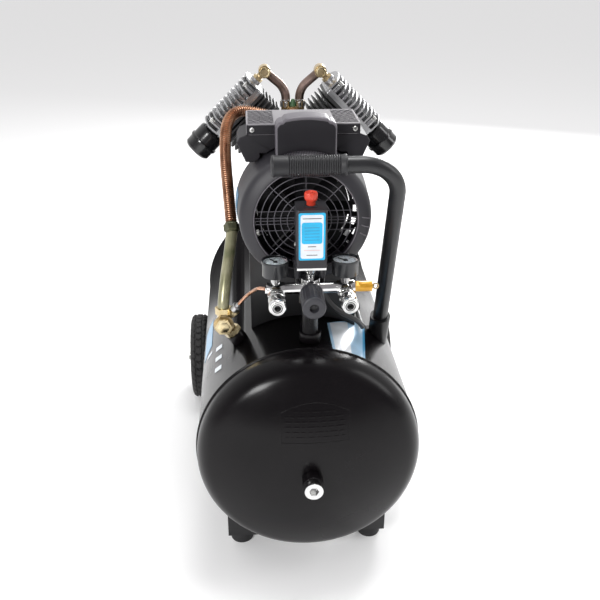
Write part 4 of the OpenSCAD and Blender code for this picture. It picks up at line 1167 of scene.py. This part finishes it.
def data_area():
    """Embossed data panel of the front head: arched outline and rows of plain dashes."""
    x_mid, z_mid = 5 * MM, 333 * MM
    half, low, high = 55 * MM, -32 * MM, 32 * MM
    outline = [(-half, low), (half, low)]
    for i in range(13):
        x = half * (1 - i / 6)
        outline.append((x, high - 16 * MM * (x / half) ** 2))
    path = []
    for (xa, za), (xb, zb) in zip(outline, outline[1:] + outline[:1]):
        steps = max(2, int(math.hypot(xb - xa, zb - za) / (4 * MM)))
        for i in range(steps):
            t = i / steps
            path.append(on_front_head(x_mid + xa + (xb - xa) * t, z_mid + za + (zb - za) * t, 0))
    path.append(path[0])
    piece("data_outline", sweep(path, 0.75 * MM, 8), "tank", 60)
    rng = random.Random(4)
    parts = []
    for row in range(6):
        z = z_mid + 17 * MM - row * 8.4 * MM
        room = half - (22 if row == 0 else 7) * MM
        x = -room
        while x < room - 3 * MM:
            width = min(rng.uniform(4, 15) * MM, room - x)
            parts.append(head_tile((x_mid + x, z), (x_mid + x + width, z + 3.4 * MM), 0.45 * MM, 3))
            x += width + rng.uniform(2.2, 4.5) * MM
    piece("data_dashes", join(parts), "tank", 60)


def decals():
    """Plain colour films where the real tank and shroud carry printing. The white middle of the right
    decal is print and painted reflection.
    """
    shell_patch("decal_blue_right", [(12.2, -349), (29.5, -349), (37, -190), (12.2, -250)], "sky")
    # The white middle band is partly print and partly a painted reflection on the glossy decal.
    shell_patch("decal_white_and_reflection_right", [(13.6, -348), (22, -348), (24.5, -225), (13.6, -248)],
                "white", 0.35)
    shell_patch("decal_edge_right", [(28, -348), (29.5, -348), (37, -191), (35.5, -195)],
                "blue", 0.35)
    shell_patch("flank_patch", [(-62, -142), (-74, -142), (-74, -30), (-62, -30)], "blue")
    shell_patch("flank_mark", [(-61, -175), (-68, -165), (-68, -157), (-61, -167)], "white", rows=6)
    for j in range(3):
        y0 = -285 + j * 38
        shell_patch(f"flank_bar_{j}", [(-50, y0), (-56, y0 + 12), (-56, y0 + 26), (-50, y0 + 14)],
                    "white", rows=6)
    band = []
    for i in range(13):
        out = radial(-97 + i * 1.8)[0] * MM
        band += [Vector((0, y * MM, CRANK_Z)) + out * (107 + 5 * (y + 290) / 100 + lift)
                 for y in (-232, -190) for lift in (0.05, 0.5)]
    piece("decal_shroud", (band, bar_faces(12)), "blue", 60)


# ---- stage, camera, light

def camera():
    """Camera at the photograph's viewing angle."""
    data = bpy.data.cameras.new("camera")
    data.lens = 48.0
    data.sensor_width = 36.0
    data.clip_start = 0.01
    obj = new_object("camera", data)
    obj.location = (-0.0914, -1.4873, 1.0524)
    obj.rotation_euler = (math.radians(64.72), 0, math.radians(-3.89))
    bpy.context.scene.camera = obj


def area(name, place, target, size, size_y, power):
    """A soft box light aimed at a point."""
    data = bpy.data.lights.new(name, "AREA")
    data.energy = power
    data.shape = "RECTANGLE"
    data.size = size
    data.size_y = size_y
    obj = new_object(name, data)
    obj.location = place
    obj.rotation_euler = (Vector(target) - Vector(place)).to_track_quat("-Z", "Y").to_euler()


def stage():
    """Pale floor, pale surroundings that dim towards the viewer, and soft studio lights."""
    mat, _, bsdf, _ = shader("floor_white")
    bsdf.inputs["Base Color"].default_value = (0.9, 0.9, 0.9, 1)
    bsdf.inputs["Roughness"].default_value = 0.95
    bsdf.inputs["Specular IOR Level"].default_value = 0.1
    bsdf.inputs["Emission Color"].default_value = (1, 1, 1, 1)
    bsdf.inputs["Emission Strength"].default_value = 0.14
    size = 14.0
    verts = [(-size, -size, 0), (size, -size, 0), (size, size, 0), (-size, size, 0)]
    floor = put("floor", verts, [(0, 1, 2, 3)], mat, None, smooth=False)
    world = bpy.data.worlds.new("world")
    bpy.context.scene.world = world
    world.use_nodes = True
    nodes, links = world.node_tree.nodes, world.node_tree.links
    place = nodes.new("ShaderNodeTexCoord")
    split = nodes.new("ShaderNodeSeparateXYZ")
    links.new(place.outputs["Generated"], split.inputs["Vector"])
    fade = nodes.new("ShaderNodeValToRGB")
    fade.color_ramp.elements[0].position = 0.30
    fade.color_ramp.elements[0].color = (0.30, 0.29, 0.30, 1)
    fade.color_ramp.elements[1].position = 0.66
    fade.color_ramp.elements[1].color = (1, 1, 1, 1)
    shift = nodes.new("ShaderNodeMath")
    shift.operation = "MULTIPLY_ADD"
    shift.inputs[1].default_value = 0.5
    shift.inputs[2].default_value = 0.5
    links.new(split.outputs["Y"], shift.inputs[0])
    links.new(shift.outputs["Value"], fade.inputs["Fac"])
    back = nodes["Background"]
    links.new(fade.outputs["Color"], back.inputs["Color"])
    back.inputs["Strength"].default_value = 0.98
    area("key", (-1.75, -2.75, 1.75), (0, -0.3, 0.3), 0.95, 0.75, 62)
    area("fill", (2.6, -0.6, 1.9), (0, 0, 0.4), 0.7, 1.9, 18)
    area("top", (0.2, 0.2, 3.0), (0, 0, 0.4), 1.2, 1.0, 40)
    area("rear", (1.25, 2.5, 1.45), (0.05, -0.3, 0.4), 1.0, 1.0, 60)
    bpy.context.scene.view_settings.view_transform = "Standard"


# ---- build

camera()
mains_cord()
for (finish, edge_width), cad_nodes in DRESSED.items():
    for cad_node in cad_nodes:
        dress(cad_node, finish, edge_width)
for side_name in ("left", "right"):
    tyre(f"tyre_{side_name}", f"wheel_{side_name}")
    hub_cap(f"wheel_hub_{side_name}", f"wheel_{side_name}")
fan_shroud()
shroud_baffle()
ring_slots()
fan_grille()
terminal_cover()
flat_box_details()
handle_grip()
finned_tube()
plain_tube("delivery_pipe", "delivery_tube", DELIVERY_ROUTE, 10.0, "olive")
plain_tube("unloader_pipe", "unloader_tube", UNLOADER_ROUTE, 3.0, "copper", 1.5)
plain_tube("motor_cable", "motor_lead", MOTOR_ROUTE, 3.75, "jacket")
delivery_nut()
tube_details()
check_valve_details()
gauge(-1, "left")
gauge(1, "right")
regulator_knob()
coupler_sleeve("left")
coupler_sleeve("right")
switch_knob()
switch_details()
data_area()
decals()
stage()
